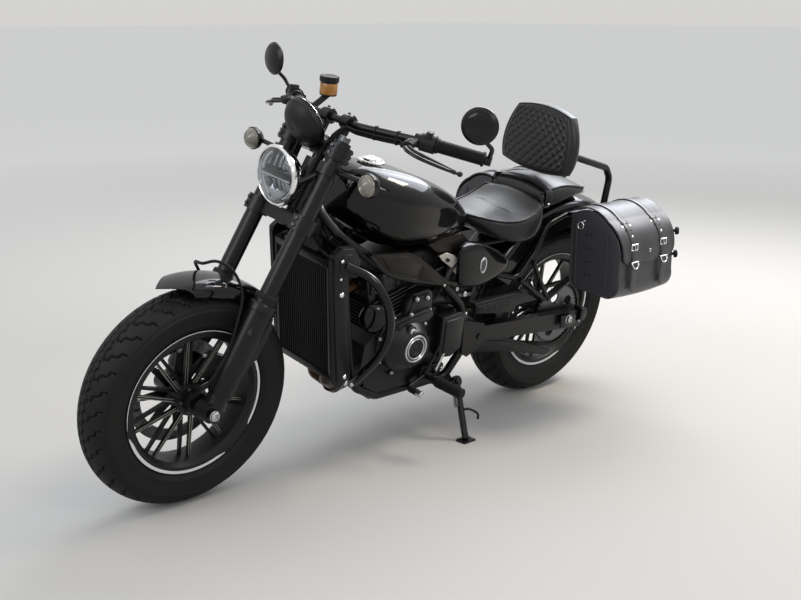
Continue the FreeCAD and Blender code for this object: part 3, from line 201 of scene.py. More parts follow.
FINISHES = {
    # Sprayed and polished enamel: deep black under a clear coat, with faint orange peel.
    "gloss_black": dict(colour="#030304", roughness=0.3, coat_weight=0.6, coat_roughness=0.03,
                        specular_ior_level=0.05, grain=(9, 0.010)),
    # Powder coat on tube and sheet: an even, slightly soft black.
    "satin_black": dict(colour="#060607", roughness=0.33, specular_ior_level=0.3,
                        grain=(2.5, 0.03), shade=("#0b0b0c", 60)),
    # Sand-cast aluminium under black paint: a fine pitted grain.
    "cast_black": dict(colour="#08080a", roughness=0.46, specular_ior_level=0.35,
                       grain=(2.5, 0.08), shade=("#0e0e10", 40)),
    # Engine castings in dark charcoal paint, a little lighter than the frame.
    "engine_charcoal": dict(colour="#0d0e0f", roughness=0.4, specular_ior_level=0.35,
                            grain=(2.2, 0.06), shade=("#141516", 50)),
    # Moulded ABS with a spark-eroded grain.
    "moulded_black": dict(colour="#08080a", roughness=0.5, specular_ior_level=0.3,
                          grain=(2, 0.05), shade=("#0e0f10", 45)),
    # Thin painted cooling fins: a dull, even black.
    "radiator_black": dict(colour="#050506", roughness=0.55, specular_ior_level=0.25,
                           grain=(3, 0.05)),
    # Moulded rubber: dull, with a soft bloom in patches.
    "rubber": dict(colour="#070707", roughness=0.64, specular_ior_level=0.22,
                   grain=(2.4, 0.08), shade=("#0d0d0d", 30)),
    # Tyre rubber: browner and dustier in patches.
    "tyre": dict(colour="#0a0a0a", roughness=0.62, specular_ior_level=0.25,
                 grain=(2.5, 0.07), shade=("#121110", 70)),
    # Stretched seat leather: a fine pebble and a satin shine.
    "seat_leather": dict(colour="#09090a", roughness=0.38, specular_ior_level=0.4,
                         grain=(3.0, 0.10, "pebble"), shade=("#101012", 55), sheen_weight=0.06),
    # Thick saddlebag hide: a coarser pebble, and paler where it is rubbed.
    "bag_leather": dict(colour="#0a0b0d", roughness=0.42, specular_ior_level=0.42,
                        grain=(3.6, 0.14, "pebble"), shade=("#15161a", 48)),
    # Polished chromium plate.
    "chrome": dict(colour="#dcdfe2", metallic=1.0, roughness=0.07, grain=(12, 0.004)),
    # Machined and lacquered aluminium with fine tool lines.
    "bright_alloy": dict(colour="#c4c6c8", metallic=1.0, roughness=0.3,
                         grain=(3, 0.02, "brushed")),
    # Turned steel of discs and bolts.
    "brushed_steel": dict(colour="#5e6062", metallic=1.0, roughness=0.36,
                          grain=(2.5, 0.02, "brushed")),
    # Satin anodised aluminium of covers and plates; on the fin edges it stands as a painted
    # highlight.
    "satin_alloy": dict(colour="#4c4e52", metallic=1.0, roughness=0.42, shade=("#5c5e62", 40),
                        grain=(2, 0.03)),
    # Steel pipe tanned by heat.
    "heated_steel": dict(colour="#4a3726", metallic=1.0, roughness=0.38, shade=("#2e221e", 45),
                         grain=(4, 0.02)),
    # Moulded red acrylic with a prism grain behind its skin.
    "red_lens": dict(colour="#5c0508", roughness=0.12, coat_weight=0.6,
                     grain=(4, 0.08, "pebble")),
    # Reflective silver tape.
    "silver_tape": dict(colour="#d3d5d6", roughness=0.34, coat_weight=0.3,
                        grain=(3, 0.01)),
    # Clear polycarbonate.
    "clear_lens": dict(colour="#f2f5f7", roughness=0.03, transmission_weight=1.0, ior=1.49,
                       grain=(14, 0.01)),
    # Smoked acrylic of the signals.
    "smoked_lens": dict(colour="#77736a", roughness=0.12, coat_weight=0.6, metallic=0.3,
                        grain=(5, 0.05)),
    # Brake fluid behind a translucent nylon wall.
    "amber_fluid": dict(colour="#a8752e", roughness=0.25, coat_weight=0.3, shade=("#7c4f1c", 30),
                        grain=(6, 0.02)),
    # Silvered lamp reflector.
    "reflector": dict(colour="#8f9295", metallic=1.0, roughness=0.18, grain=(16, 0.01)),
    # Pale brushed alloy: the blank plate's own colour; on the pivot plates and the spoke strips, a
    # painted highlight of sunlight on black paint.
    "pale_alloy_and_painted_highlight": dict(colour="#b3b0a9", metallic=1.0, roughness=0.5, shade=("#9b9892", 30),
                       grain=(3, 0.02, "brushed")),
    # Dark reflector acrylic over a prism back.
    "dark_reflector": dict(colour="#34363a", metallic=0.6, roughness=0.25,
                           grain=(3, 0.05, "pebble")),
    # Bronze-tinted lacquer on the moulded trims.
    "dark_bronze": dict(colour="#1f1c19", metallic=0.7, roughness=0.34, shade=("#292520", 60),
                        grain=(2.5, 0.02)),
    # Blued and oiled chain steel.
    "chain_steel": dict(colour="#3a3835", metallic=1.0, roughness=0.45, shade=("#26241f", 25),
                        grain=(3, 0.02)),
}
SLOT_FINISH = {
    "gloss_black_paint": "gloss_black", "satin_black_steel": "satin_black",
    "black_alloy": "cast_black", "charcoal_engine": "engine_charcoal",
    "black_plastic": "moulded_black", "black_radiator": "radiator_black",
    "grip_rubber": "rubber", "tyre_rubber": "tyre", "black_leather": "seat_leather",
    "bag_leather": "bag_leather", "chrome": "chrome", "silver_cap": "bright_alloy",
    "steel_bright": "brushed_steel", "bronze_steel": "heated_steel",
    "black_exhaust": "satin_black", "lamp_glass": "clear_lens", "red_lens": "red_lens",
}


def finish(name):
    """A named finish from the table above."""
    return material(name, **FINISHES[name])


# Shapes, drawn in millimetres in a space of their own.
def lathe(shape, outline, place=Matrix(), steps=48):
    """Turn (radius, height) steps about Z."""
    turns = [math.radians(360 * number / steps) for number in range(steps)]
    rings = []
    for radius, height in outline:
        if radius < 1e-6:
            rings.append([shape.verts.new(place @ Vector((0, 0, height)))])
        else:
            rings.append([shape.verts.new(place @ Vector((radius * math.cos(turn),
                                                          radius * math.sin(turn), height)))
                          for turn in turns])
    for low, high in zip(rings, rings[1:]):
        skin(shape, low, high)


def skin(shape, low, high, closed=True):
    """Faces between two rings, or between a ring and a point."""
    count = max(len(low), len(high))
    for number in range(count if closed else count - 1):
        after = (number + 1) % count
        corners = []
        for ring, spots in ((low, (number, after)), (high, (after, number))):
            corners += [ring[0]] if len(ring) == 1 else [ring[spot] for spot in spots]
        if len(set(corners)) > 2:
            shape.faces.new(corners)


def loft(shape, rings, caps=True):
    """A skin through rings of points, with its ends closed."""
    made = [[shape.verts.new(spot) for spot in ring] for ring in rings]
    for low, high in zip(made, made[1:]):
        skin(shape, low, high)
    if caps:
        shape.faces.new(made[0])
        shape.faces.new(list(reversed(made[-1])))
    return made


def eased(points, bend, steps=5):
    """A path of straight runs with its corners rounded."""
    points = [Vector(point) for point in points]
    path = [points[0]]
    for before, corner, after in zip(points, points[1:], points[2:]):
        reach = min(bend, (before - corner).length / 2, (after - corner).length / 2)
        first = corner + (before - corner).normalized() * reach
        last = corner + (after - corner).normalized() * reach
        for number in range(steps + 1):
            share = number / steps
            path.append(first.lerp(corner, share).lerp(corner.lerp(last, share), share))
    return path + [points[-1]]


def pipe(shape, path, radius, sides=14, flat=1.0, up=AXIS_Z, taper=None):
    """A round or flattened bar along a path."""
    path = [Vector(point) for point in path]
    rings, side = [], None
    for number, spot in enumerate(path):
        ahead = path[min(number + 1, len(path) - 1)] - path[max(number - 1, 0)]
        ahead.normalize()
        if side is None:
            side = ahead.cross(up).normalized()
        side = (side - ahead * side.dot(ahead)).normalized()
        rise = side.cross(ahead)
        size = radius if taper is None else radius * taper(number / (len(path) - 1))
        rings.append([spot + side * size * math.cos(math.tau * turn / sides)
                      + rise * size * flat * math.sin(math.tau * turn / sides)
                      for turn in range(sides)])
    loft(shape, rings)


def prism(shape, outline, low, high, bevel=1.5, place=Matrix()):
    """A plate: an outline in X and Z, between two places on Y, with eased edges."""
    made = bmesh.new()
    near = [made.verts.new((x, low, z)) for x, z in outline]
    far = [made.verts.new((x, high, z)) for x, z in outline]
    made.faces.new(near)
    made.faces.new(list(reversed(far)))
    for number in range(len(outline)):
        after = (number + 1) % len(outline)
        made.faces.new((near[number], far[number], far[after], near[after]))
    ease(made, bevel)
    join(shape, made, place)


def block(shape, size, place, bevel=2.0, segments=2):
    """A moulded or machined box, its middle at the place, with eased edges."""
    made = bmesh.new()
    bmesh.ops.create_cube(made, size=1, matrix=Matrix.Diagonal((*size, 1)))
    ease(made, bevel, segments)
    join(shape, made, place)


def ease(made, bevel, segments=2):
    """Round the sharp edges of a shape."""
    sharp_angle = math.radians(25)
    if bevel:
        made.normal_update()
        bmesh.ops.recalc_face_normals(made, faces=made.faces)
        sharp = [edge for edge in made.edges
                 if len(edge.link_faces) == 2 and edge.calc_face_angle(0) > sharp_angle]
        bmesh.ops.bevel(made, geom=sharp, offset=bevel, segments=segments, affect="EDGES",
                        profile=0.5, clamp_overlap=True)


def join(shape, made, place=Matrix()):
    """Add one shape to another at a place."""
    made.transform(place)
    mesh = bpy.data.meshes.new("joined")
    made.to_mesh(mesh)
    made.free()
    shape.from_mesh(mesh)
    bpy.data.meshes.remove(mesh)


def at(x=0, y=0, z=0, turn=None, about="Y"):
    """A place, turned by degrees about one axis."""
    place = Matrix.Translation((x, y, z))
    return place @ Matrix.Rotation(math.radians(turn), 4, about) if turn else place


def facing(spot, direction):
    """A place whose Z looks along a direction."""
    return Matrix.Translation(spot) @ Vector(direction).to_track_quat("Z", "Y").to_matrix().to_4x4()


def two_sides(shape):
    """Add the mirror image of a shape on the right."""
    other = shape.copy()
    for vert in other.verts:
        vert.co.y = -vert.co.y
    bmesh.ops.reverse_faces(other, faces=other.faces)
    join(shape, other)


def piece(name, shape, look, body, space=BIKE, instead_of=(), smooth=34, outwards=True, slot=None):
    """A finished piece: its mesh in the row frame, its finish, and the body it rides on."""
    bmesh.ops.remove_doubles(shape, verts=shape.verts, dist=0.01)
    if outwards:
        bmesh.ops.recalc_face_normals(shape, faces=shape.faces)
    mesh = bpy.data.meshes.new(name)
    shape.to_mesh(mesh)
    shape.free()
    made = dressed(name, mesh, look, body, space, instead_of, smooth)
    return made


def turned(name, outline, look, body, place=Matrix(), steps=48, **how):
    """A finished piece that is a single turning."""
    shape = bmesh.new()
    lathe(shape, outline, place, steps)
    piece(name, shape, look, body, **how)


def dressed(name, mesh, look, body, space, instead_of, smooth):
    """An object for a finished mesh, moved into the row frame with its faces still outwards."""
    mesh.transform(space)
    if space.determinant() < 0:
        mesh.flip_normals()
    mesh.shade_smooth()
    mesh.set_sharp_from_angle(angle=math.radians(smooth))
    mesh.materials.clear()
    mesh.materials.append(finish(look))
    made = bpy.data.objects.new(name, mesh)
    bpy.context.scene.collection.objects.link(made)
    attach(made, body)
    if instead_of:
        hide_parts(*instead_of)
    return made


# Geometry Nodes for what repeats.
def copying_tree(name, places, **inputs):
    """A tree that copies one piece onto places, as real faces with one finish."""
    tree = bpy.data.node_groups.new(name, "GeometryNodeTree")
    tree.interface.new_socket("Geometry", in_out="OUTPUT", socket_type="NodeSocketGeometry")
    sockets = {"Geometry": "Geometry", "Piece": "Object", "Finish": "Material", **inputs}
    for label, kind in sockets.items():
        tree.interface.new_socket(label, in_out="INPUT", socket_type=f"NodeSocket{kind}")
    given = add_node(tree, "NodeGroupInput").outputs
    source = add_node(tree, "GeometryNodeObjectInfo", {"Object": given["Piece"]})
    copies = add_node(tree, "GeometryNodeInstanceOnPoints",
                      {"Instance": source.outputs["Geometry"], **places(tree, given)})
    real = add_node(tree, "GeometryNodeRealizeInstances", {0: copies.outputs[0]})
    faces = add_node(tree, "GeometryNodeSetMaterial", {"Geometry": real.outputs[0],
                                                       "Material": given["Finish"]})
    add_node(tree, "NodeGroupOutput", {0: faces.outputs[0]})
    return tree


def row_places(tree, given):
    """A count of places, each moved on by a step and turned about Y."""
    index = add_node(tree, "GeometryNodeInputIndex").outputs[0]
    spot = add_node(tree, "ShaderNodeVectorMath", {0: given["Step"], "Scale": index},
                    operation="SCALE")
    dots = add_node(tree, "GeometryNodePoints", {"Count": given["Count"],
                                                 "Position": spot.outputs[0]})
    angle = add_node(tree, "ShaderNodeMath", {0: index, 1: given["Turn"]}, operation="MULTIPLY")
    turn = add_node(tree, "ShaderNodeCombineXYZ", {"Y": angle.outputs[0]})
    return {"Points": dots.outputs[0], "Rotation": turn.outputs[0]}


def head_places(tree, given):
    """The given points, each with its own facing and size."""
    look, size = (add_node(tree, "GeometryNodeInputNamedAttribute", {"Name": name}, data_type=kind)
                  for name, kind in (("facing", "FLOAT_VECTOR"), ("size", "FLOAT")))
    turn = add_node(tree, "FunctionNodeAlignRotationToVector", {"Vector": look.outputs[0]},
                    axis="Z")
    return {"Points": given["Geometry"], "Rotation": turn.outputs[0], "Scale": size.outputs[0]}


def path_places(tree, given):
    """A place at every pitch along a path, its X along it and its Z outwards on Y."""
    curve = add_node(tree, "GeometryNodeMeshToCurve", {0: given["Geometry"]})
    dots = add_node(tree, "GeometryNodeCurveToPoints",
                    {"Curve": curve.outputs[0], "Length": given["Pitch"]}, mode="LENGTH")
    turn = add_node(tree, "FunctionNodeAlignRotationToVector",
                    {"Vector": dots.outputs["Tangent"]}, axis="X")
    return {"Points": dots.outputs["Points"], "Rotation": turn.outputs[0]}


ROW = copying_tree("row_of_pieces", row_places, Count="Int", Step="Vector", Turn="Float")
HEADS = copying_tree("heads_on_points", head_places)
PATH = copying_tree("pieces_on_path", path_places, Pitch="Float")


def loose(name, shape):
    """A shape as a plain object in millimetres, for a tree to copy."""
    mesh = bpy.data.meshes.new(name)
    shape.to_mesh(mesh)
    shape.free()
    made = bpy.data.objects.new(name, mesh)
    bpy.context.scene.collection.objects.link(made)
    return made


def result(base):
    """The plain mesh that an object's modifiers give, with the object taken away."""
    graph = bpy.context.evaluated_depsgraph_get()
    mesh = bpy.data.meshes.new_from_object(base.evaluated_get(graph))
    bpy.data.objects.remove(base)
    return mesh


def grown(name, tree, base, shape, look, body, space, instead_of=(), smooth=34, **values):
    """A finished piece that a tree makes from a base object and one shape to copy."""
    source = loose("source", shape)
    modifier = base.modifiers.new("grow", "NODES")
    modifier.node_group = tree
    values = {"Piece": source, "Finish": finish(look), **values}
    for item in tree.interface.items_tree:
        if item.in_out == "INPUT" and item.name in values:
            modifier[item.identifier] = values[item.name]
    mesh = result(base)
    bpy.data.objects.remove(source)
    dressed(name, mesh, look, body, space, instead_of, smooth)


def repeated(name, shape, count, look, body, space=BIKE, step=(0, 0, 0), turn=0, instead_of=(),
             smooth=34):
    """A row or a ring of one shape."""
    grown(name, ROW, loose("base", bmesh.new()), shape, look, body, space, instead_of, smooth,
          Count=count, Step=Vector(step), Turn=math.radians(turn))


def fastened(name, shape, spots, look, body, space=BIKE):
    """Heads of screws, studs or nuts: each spot is a point, a facing and a size."""
    points = bmesh.new()
    for spot, _, _ in spots:
        points.verts.new(spot)
    base = loose("base", points)
    base.data.attributes.new("facing", "FLOAT_VECTOR", "POINT")
    base.data.attributes.new("size", "FLOAT", "POINT")
    facings, sizes = base.data.attributes["facing"], base.data.attributes["size"]
    for number, (_, direction, size) in enumerate(spots):
        facings.data[number].vector = direction
        sizes.data[number].value = size
    grown(name, HEADS, base, shape, look, body, space)


def fastened_pairs(name, shape, rows, look, body, ahead=AXIS_Y, place=Matrix()):
    """Heads on both sides, all facing one way: each row is a place on the left and a size."""
    spots = []
    for side in (1, -1):
        mirror = Matrix.Diagonal((1, side, 1))
        spots += [(place @ (mirror @ Vector(spot)), place.to_3x3() @ (mirror @ Vector(ahead)), size)
                  for *spot, size in rows]
    fastened(name, shape, spots, look, body)


def along(name, shape, path, pitch, look, body, space=BIKE, instead_of=(), smooth=34):
    """One shape at every pitch along a path."""
    line = bmesh.new()
    verts = [line.verts.new(spot) for spot in path]
    for first, second in zip(verts, verts[1:]):
        line.edges.new((first, second))
    grown(name, PATH, loose("base", line), shape, look, body, space, instead_of, smooth,
          Pitch=pitch)


def arc_through(first, middle, last, steps):
    """Points on the circle through three flat points, without the first."""
    (ax, ay), (bx, by), (cx, cy) = first, middle, last
    twice = 2 * (ax * (by - cy) + bx * (cy - ay) + cx * (ay - by))
    a, b, c = ax * ax + ay * ay, bx * bx + by * by, cx * cx + cy * cy
    ox = (a * (by - cy) + b * (cy - ay) + c * (ay - by)) / twice
    oy = (a * (cx - bx) + b * (ax - cx) + c * (bx - ax)) / twice
    start, through, end = (math.atan2(y - oy, x - ox) for x, y in (first, middle, last))
    sweep = (end - start) % math.tau
    if (through - start) % math.tau > sweep:
        sweep -= math.tau
    reach = math.hypot(ax - ox, ay - oy)
    turns = [start + sweep * number / steps for number in range(1, steps + 1)]
    return [(ox + reach * math.cos(turn), oy + reach * math.sin(turn)) for turn in turns]


def profile(outline, steps=10):
    """A flat line through points; four numbers are an arc's middle and end."""
    line = [tuple(outline[0])]
    for spot in outline[1:]:
        if len(spot) == 4:
            line += arc_through(line[-1], spot[:2], spot[2:], steps)
        else:
            count = max(1, round(math.dist(line[-1], spot) / 14))
            first = line[-1]
            line += [(first[0] + (spot[0] - first[0]) * number / count,
                      first[1] + (spot[1] - first[1]) * number / count)
                     for number in range(1, count + 1)]
    return line


def curve_point(a, b, c, d, t):
    """A share of the way from b to c on the smooth curve through four points."""
    return 0.5 * (2 * b + (c - a) * t + (2 * a - 5 * b + 4 * c - d) * t ** 2
                  + (3 * b - a - 3 * c + d) * t ** 3)


def flowing(points, steps=6):
    """A smooth path through all its points."""
    points = [Vector(point) for point in points]
    ends = [points[0] * 2 - points[1], *points, points[-1] * 2 - points[-2]]
    return [curve_point(*near, number / steps) for near in zip(ends, ends[1:], ends[2:], ends[3:])
            for number in range(steps)] + [points[-1]]


def hide_sheet(shape, rows, wall):
    """A skin of even thickness from rows of points."""
    count, wide = len(rows), len(rows[0])
    under = []
    for number, row in enumerate(rows):
        ahead, behind = rows[min(number + 1, count - 1)], rows[max(number - 1, 0)]
        under.append([spot - (ahead[place] - behind[place]).cross(
            row[min(place + 1, wide - 1)] - row[max(place - 1, 0)]).normalized() * wall
            for place, spot in enumerate(row)])
    faces = [[[shape.verts.new(spot) for spot in row] for row in side] for side in (rows, under)]
    for side in faces:
        for low, high in zip(side, side[1:]):
            skin(shape, low, high, closed=False)
    outer, inner = faces
    for end in (0, -1):
        skin(shape, outer[end], inner[end], closed=False)
        skin(shape, [row[end] for row in outer], [row[end] for row in inner], closed=False)


def rounded(shape, levels=2):
    """The smooth surface that a coarse cage stands for."""
    base = loose("cage", shape)
    smooth = base.modifiers.new("smooth", "SUBSURF")
    smooth.levels = smooth.render_levels = levels
    return taken(base)


def taken(base):
    """The mesh that an object's modifiers give, as a shape again."""
    mesh, made = result(base), bmesh.new()
    made.from_mesh(mesh)
    bpy.data.meshes.remove(mesh)
    return made


def stuffed(shape, seams, cap, grid=6.0, pressure=4.0, frames=20):
    """Blow a closed cushion up between its sewn lines, with no point moved further than the cap."""
    for vert in shape.verts:
        vert.co /= 1000
    cushion = loose("cushion", shape)
    cells = cushion.modifiers.new("cells", "REMESH")
    cells.mode, cells.voxel_size = "VOXEL", grid / 1000
    even = taken(cushion)
    start = [vert.co.copy() for vert in even.verts]
    cushion = loose("cushion", even.copy())
    sewn = cushion.vertex_groups.new(name="sewn")
    tree = KDTree(len(seams))
    for number, spot in enumerate(seams):
        tree.insert(Vector(spot) / 1000, number)
    tree.balance()
    for number, spot in enumerate(start):
        if tree.find(spot)[2] < 0.8 * grid / 1000:
            sewn.add([number], 1.0, "REPLACE")
    cloth = cushion.modifiers.new("cloth", "CLOTH")
    cloth.settings.use_pressure, cloth.settings.uniform_pressure_force = True, pressure
    cloth.settings.effector_weights.gravity = 0
    cloth.settings.vertex_group_mass = "sewn"
    cloth.point_cache.frame_start, cloth.point_cache.frame_end = 1, frames
    for number in range(1, frames + 1):
        bpy.context.scene.frame_set(number)
    swollen = taken(cushion)
    bpy.context.scene.frame_set(1)
    for vert, puffed, spot in zip(even.verts, swollen.verts, start):
        move = puffed.co - spot
        vert.co = spot + move * min(1, cap / 1000 / max(move.length, 1e-9))
    swollen.free()
    for vert in even.verts:
        vert.co *= 1000
    bmesh.ops.smooth_vert(even, verts=even.verts, factor=0.5, use_axis_x=True, use_axis_y=True,
                          use_axis_z=True)
    return rounded(even, 1)


def stitches(name, path, look, body, space=BIKE, pitch=6.5):
    """A row of thread stitches along a path."""
    shape = bmesh.new()
    pipe(shape, [(-2.2, 0, -0.3), (-1.2, 0, 0.5), (1.2, 0, 0.5), (2.2, 0, -0.3)], 0.55, sides=6)
    along(name, shape, path, pitch, look, body, space)


def hex_head():
    """A flanged hexagon bolt head, one millimetre across its flange."""
    shape = bmesh.new()
    lathe(shape, [(0.5, 0), (0.5, 0.08), (0.38, 0.14)], steps=12)
    lathe(shape, [(0.4, 0.1), (0.4, 0.42), (0.33, 0.48), (0, 0.48)], steps=6)
    return shape


def socket_head():
    """A round cap screw with a socket, one millimetre across."""
    shape = bmesh.new()
    lathe(shape, [(0.5, 0), (0.5, 0.42), (0.44, 0.5), (0.27, 0.5), (0.25, 0.3), (0, 0.3)],
          steps=12)
    return shape


def domed_head():
    """A domed stud or rivet, one millimetre across."""
    shape = bmesh.new()
    lathe(shape, [(0.5, 0), (0.48, 0.12), (0.38, 0.24), (0.2, 0.32), (0, 0.34)], steps=12)
    return shape


# Places and sizes that several functions share. From an axle, a turning's Z becomes Y.
SIDES = (("left", 1), ("right", -1))
FROM_AXLE = Matrix.Rotation(-math.pi / 2, 4, "X")
STEERING_TO_BIKE = BIKE.inverted() @ STEERING
LAMP = at(1227, 0, 930, 90)
GAUGE = BIKE @ at(1145, 0, 1073, -65)
LEG_X, LEG_Y = 30, 102
DECK = at(800, 0, 457, 15)
PAD_SPACE = BIKE @ at(125, 0, 868, -6)
RESERVOIR = at(962, -124, 1112)
FILLER = at(882, 0, 927, -4)
FENDER_CROWN = 429
STRIPE_RADIUS = 213.5
CHAIN_RADII = (118, 39)


# Wheels, each in a space whose Y is its axle.
def tread_unit(radius, half, count, depth=5.5):
    """One pitch of the tread: blocks between stepped grooves, from the crown to the shoulders."""
    drop = 0.42 * half
    arc = (drop ** 2 + (0.9 * half) ** 2) / (2 * drop)
    widest = math.asin(0.9 * half / arc)
    pitch = math.tau * radius / count
    edge = arc * widest
    # Groove lines in millimetres: along the tread, then across it from the crown.
    side_groove = [(0.1 * pitch, edge + 4), (0.16 * pitch, 0.78 * edge),
                   (0.42 * pitch, 0.72 * edge), (0.5 * pitch, 0.46 * edge),
                   (0.76 * pitch, 0.4 * edge), (0.84 * pitch, 0.12 * edge)]
    crown_groove = [(0, 0.1 * edge), (0.25 * pitch, 0.2 * edge), (0.5 * pitch, 0.08 * edge),
                    (0.75 * pitch, 0.2 * edge), (pitch, 0.1 * edge)]
    shape = bmesh.new()
    steps, across = 22, 44
    rows = []
    for step in range(steps + 1):
        travel, row = pitch * step / steps, []
        for number in range(across + 1):
            reach = edge * (2 * number / across - 1)
            shift = 0 if reach > 0 else pitch / 2
            spot = Vector(((travel + shift) % pitch, abs(reach)))
            away = min(distance_to(spot + Vector((wrap, 0)), line)
                       for line in (side_groove, crown_groove) for wrap in (-pitch, 0, pitch))
            sunk = depth * (1 - smooth_step(1.5, 3.1, away))
            lean = reach / arc
            height = radius - arc + (arc - sunk) * math.cos(lean)
            turn = travel / radius
            row.append(shape.verts.new((height * math.cos(turn), (arc - sunk) * math.sin(lean),
                                        -height * math.sin(turn))))
        rows.append(row)
    for low, high in zip(rows, rows[1:]):
        skin(shape, low, high, closed=False)
    return shape


def smooth_step(low, high, value):
    """From 0 below the low value to 1 above the high one."""
    share = min(max((value - low) / (high - low), 0), 1)
    return share * share * (3 - 2 * share)


def distance_to(spot, line):
    """How far a flat point lies from a line of straight runs."""
    best = 1e9
    for first, second in zip(line, line[1:]):
        first, run = Vector(first), Vector(second) - Vector(first)
        share = min(max((spot - first).dot(run) / run.length_squared, 0), 1)
        best = min(best, (spot - first - run * share).length)
    return best


def tyre(name, size, hub, body, count):
    """Tread, sidewalls with moulded rings, and beads, in place of a CAD tyre."""
    radius, half, rim_half = size
    repeated(f"{name}_tread", tread_unit(radius, half, count), count, "tyre", body, hub,
             turn=360 / count, smooth=50)
    top = BEAD + FLANGE + 4
    shoulder, middle = radius - 0.42 * half, (radius + top) / 2
    outline = [(shoulder + 1, 0.9 * half - 0.6), (shoulder - 5, 0.955 * half),
               (shoulder - 9, 0.97 * half), (shoulder - 10, 0.96 * half), (middle + 6, half - 0.4),
               (middle + 5, half + 0.6), (middle + 2, half + 0.6), (middle + 1, half - 0.4),
               (middle - 12, 0.975 * half), (middle - 24, 0.92 * half), (top + 14, rim_half + 13.5),
               (top + 12, rim_half + 13.6), (top + 10, rim_half + 11.8), (top + 2, rim_half + 7.5),
               (top - 1, rim_half + 5.5), (top - 3, rim_half), (BEAD + 0.4, rim_half - 0.5),
               (BEAD + 0.4, 0)]
    shape = bmesh.new()
    lathe(shape, outline, FROM_AXLE, steps=120)
    two_sides(shape)
    piece(f"{name}_sidewalls", shape, "tyre", body, hub, instead_of=(name,))


def rim_stripes(name, hub, body, side, spans):
    """Broken silver arcs of tape on the rim's edge, tapered at their ends."""
    shape, steps = bmesh.new(), 40
    lift = Vector((0, 0.5 if side > 0 else -0.5, 0))
    for start, sweep, width in spans:
        rings = []
        for step in range(steps + 1):
            share = step / steps
            turn = math.radians(start + sweep * share)
            wide = width * min(1, 12 * min(share, 1 - share) + 0.25)
            low = [Vector((radius * math.cos(turn), side, radius * math.sin(turn)))
                   for radius in (STRIPE_RADIUS - wide, STRIPE_RADIUS)]
            rings.append(low + [spot + lift for spot in reversed(low)])
        loft(shape, rings)
    piece(name, shape, "silver_tape", body, hub)


def disc(name, hub, body, side, outer, instead_of, holes=24):
    """A brake disc: a drilled steel band on a black carrier with bright buttons."""
    band, inner, half_thick = bmesh.new(), outer - 36, 2.5
    grid, radial, drilled = 8, 9, ((2, 6), (4, 3), (6, 5), (6, 1), (1, 2))
    radii = [inner + (outer - inner) * number / radial for number in range(radial + 1)]
    turns = [math.tau / holes * step / grid for step in range(grid + 1)]
    for face_side in (side - half_thick, side + half_thick):
        rows = [[band.verts.new((radius * math.cos(turn), face_side, -radius * math.sin(turn)))
                 for radius in radii] for turn in turns]
        for step, (low, high) in enumerate(zip(rows, rows[1:])):
            for number in range(radial):
                if (step, number) not in drilled:
                    band.faces.new((low[number], high[number], high[number + 1], low[number + 1]))
    repeated(f"{name}_band", band, holes, "brushed_steel", body, hub, turn=360 / holes,
             instead_of=instead_of)
    rims = bmesh.new()
    for radius in (inner, outer):
        lathe(rims, [(radius, side - half_thick), (radius, side + half_thick)], FROM_AXLE, steps=96)
    piece(f"{name}_edges", rims, "brushed_steel", body, hub)
    arm = bmesh.new()
    prism(arm, [(30, -16), (inner + 6, -7), (inner + 9, 0), (inner + 6, 7), (30, 16)],
          side - 2, side + 2, 0.8)
    repeated(f"{name}_carrier", arm, 8, "cast_black", body, hub, turn=45)
    turned(f"{name}_centre", [(14, side - 3.5), (44, side - 3.5), (44, side + 3.5),
                              (14, side + 3.5), (14, side - 3.5)], "cast_black", body, FROM_AXLE,
           space=hub)
    button = bmesh.new()
    for sign in (1, -1):
        lathe(button, [(0, 5 * sign), (6.5, 4.4 * sign), (8, 2.6 * sign)],
              at(inner + 3, side, 0) @ FROM_AXLE, steps=14)
    repeated(f"{name}_buttons", button, 8, "bright_alloy", body, hub, turn=45)


def hub_details(name, hub, body, sides, bolts):
    """Bearing caps, a ring of bolts and the tyre valve."""
    shape = bmesh.new()
    for side in sides:
        sign = math.copysign(1, side)
        lathe(shape, [(13, side + 1.4 * sign), (24, side + 1.4 * sign), (27, side + 0.2 * sign),
                      (30, side)], FROM_AXLE, steps=36)
    piece(f"{name}_seals", shape, "satin_black", body, hub)
    spots = []
    for side, radius, count, size in bolts:
        for number in range(count):
            turn = math.tau * number / count
            spots.append((Vector((radius * math.cos(turn), side, radius * math.sin(turn))),
                          Vector((0, math.copysign(1, side), 0)), size))
    fastened(f"{name}_bolts", hex_head(), spots, "brushed_steel", body, hub)
    turned(f"{name}_valve", [(5, 0), (5, 4), (3.2, 8), (3.2, 24), (4, 25), (4, 33), (3, 34.5),
                             (0, 34.5)], "rubber", body, at(186, 8, 0, -90), steps=14, space=hub)


def spoke_highlights(name, hub, body, row):
    """Pale strips along the cast spokes on one side: painted highlight lines."""
    turn = math.radians(row * 15)
    tip, root = Vector((187 * math.cos(turn), 0, 187 * math.sin(turn))), Vector((44, 0, 2 * row))
    across = (tip - root).normalized().cross(AXIS_Y)
    strip = bmesh.new()
    for edge in (1, -1):
        corners = (root + across * 5 * edge, tip + across * 3.5 * edge,
                   tip + across * 1.9 * edge, root + across * 3 * edge)
        prism(strip, [(spot.x, spot.z) for spot in corners], row * 13, row * 13.5, 0)
    repeated(name, strip, 10, "pale_alloy_and_painted_highlight", body, hub, turn=36)


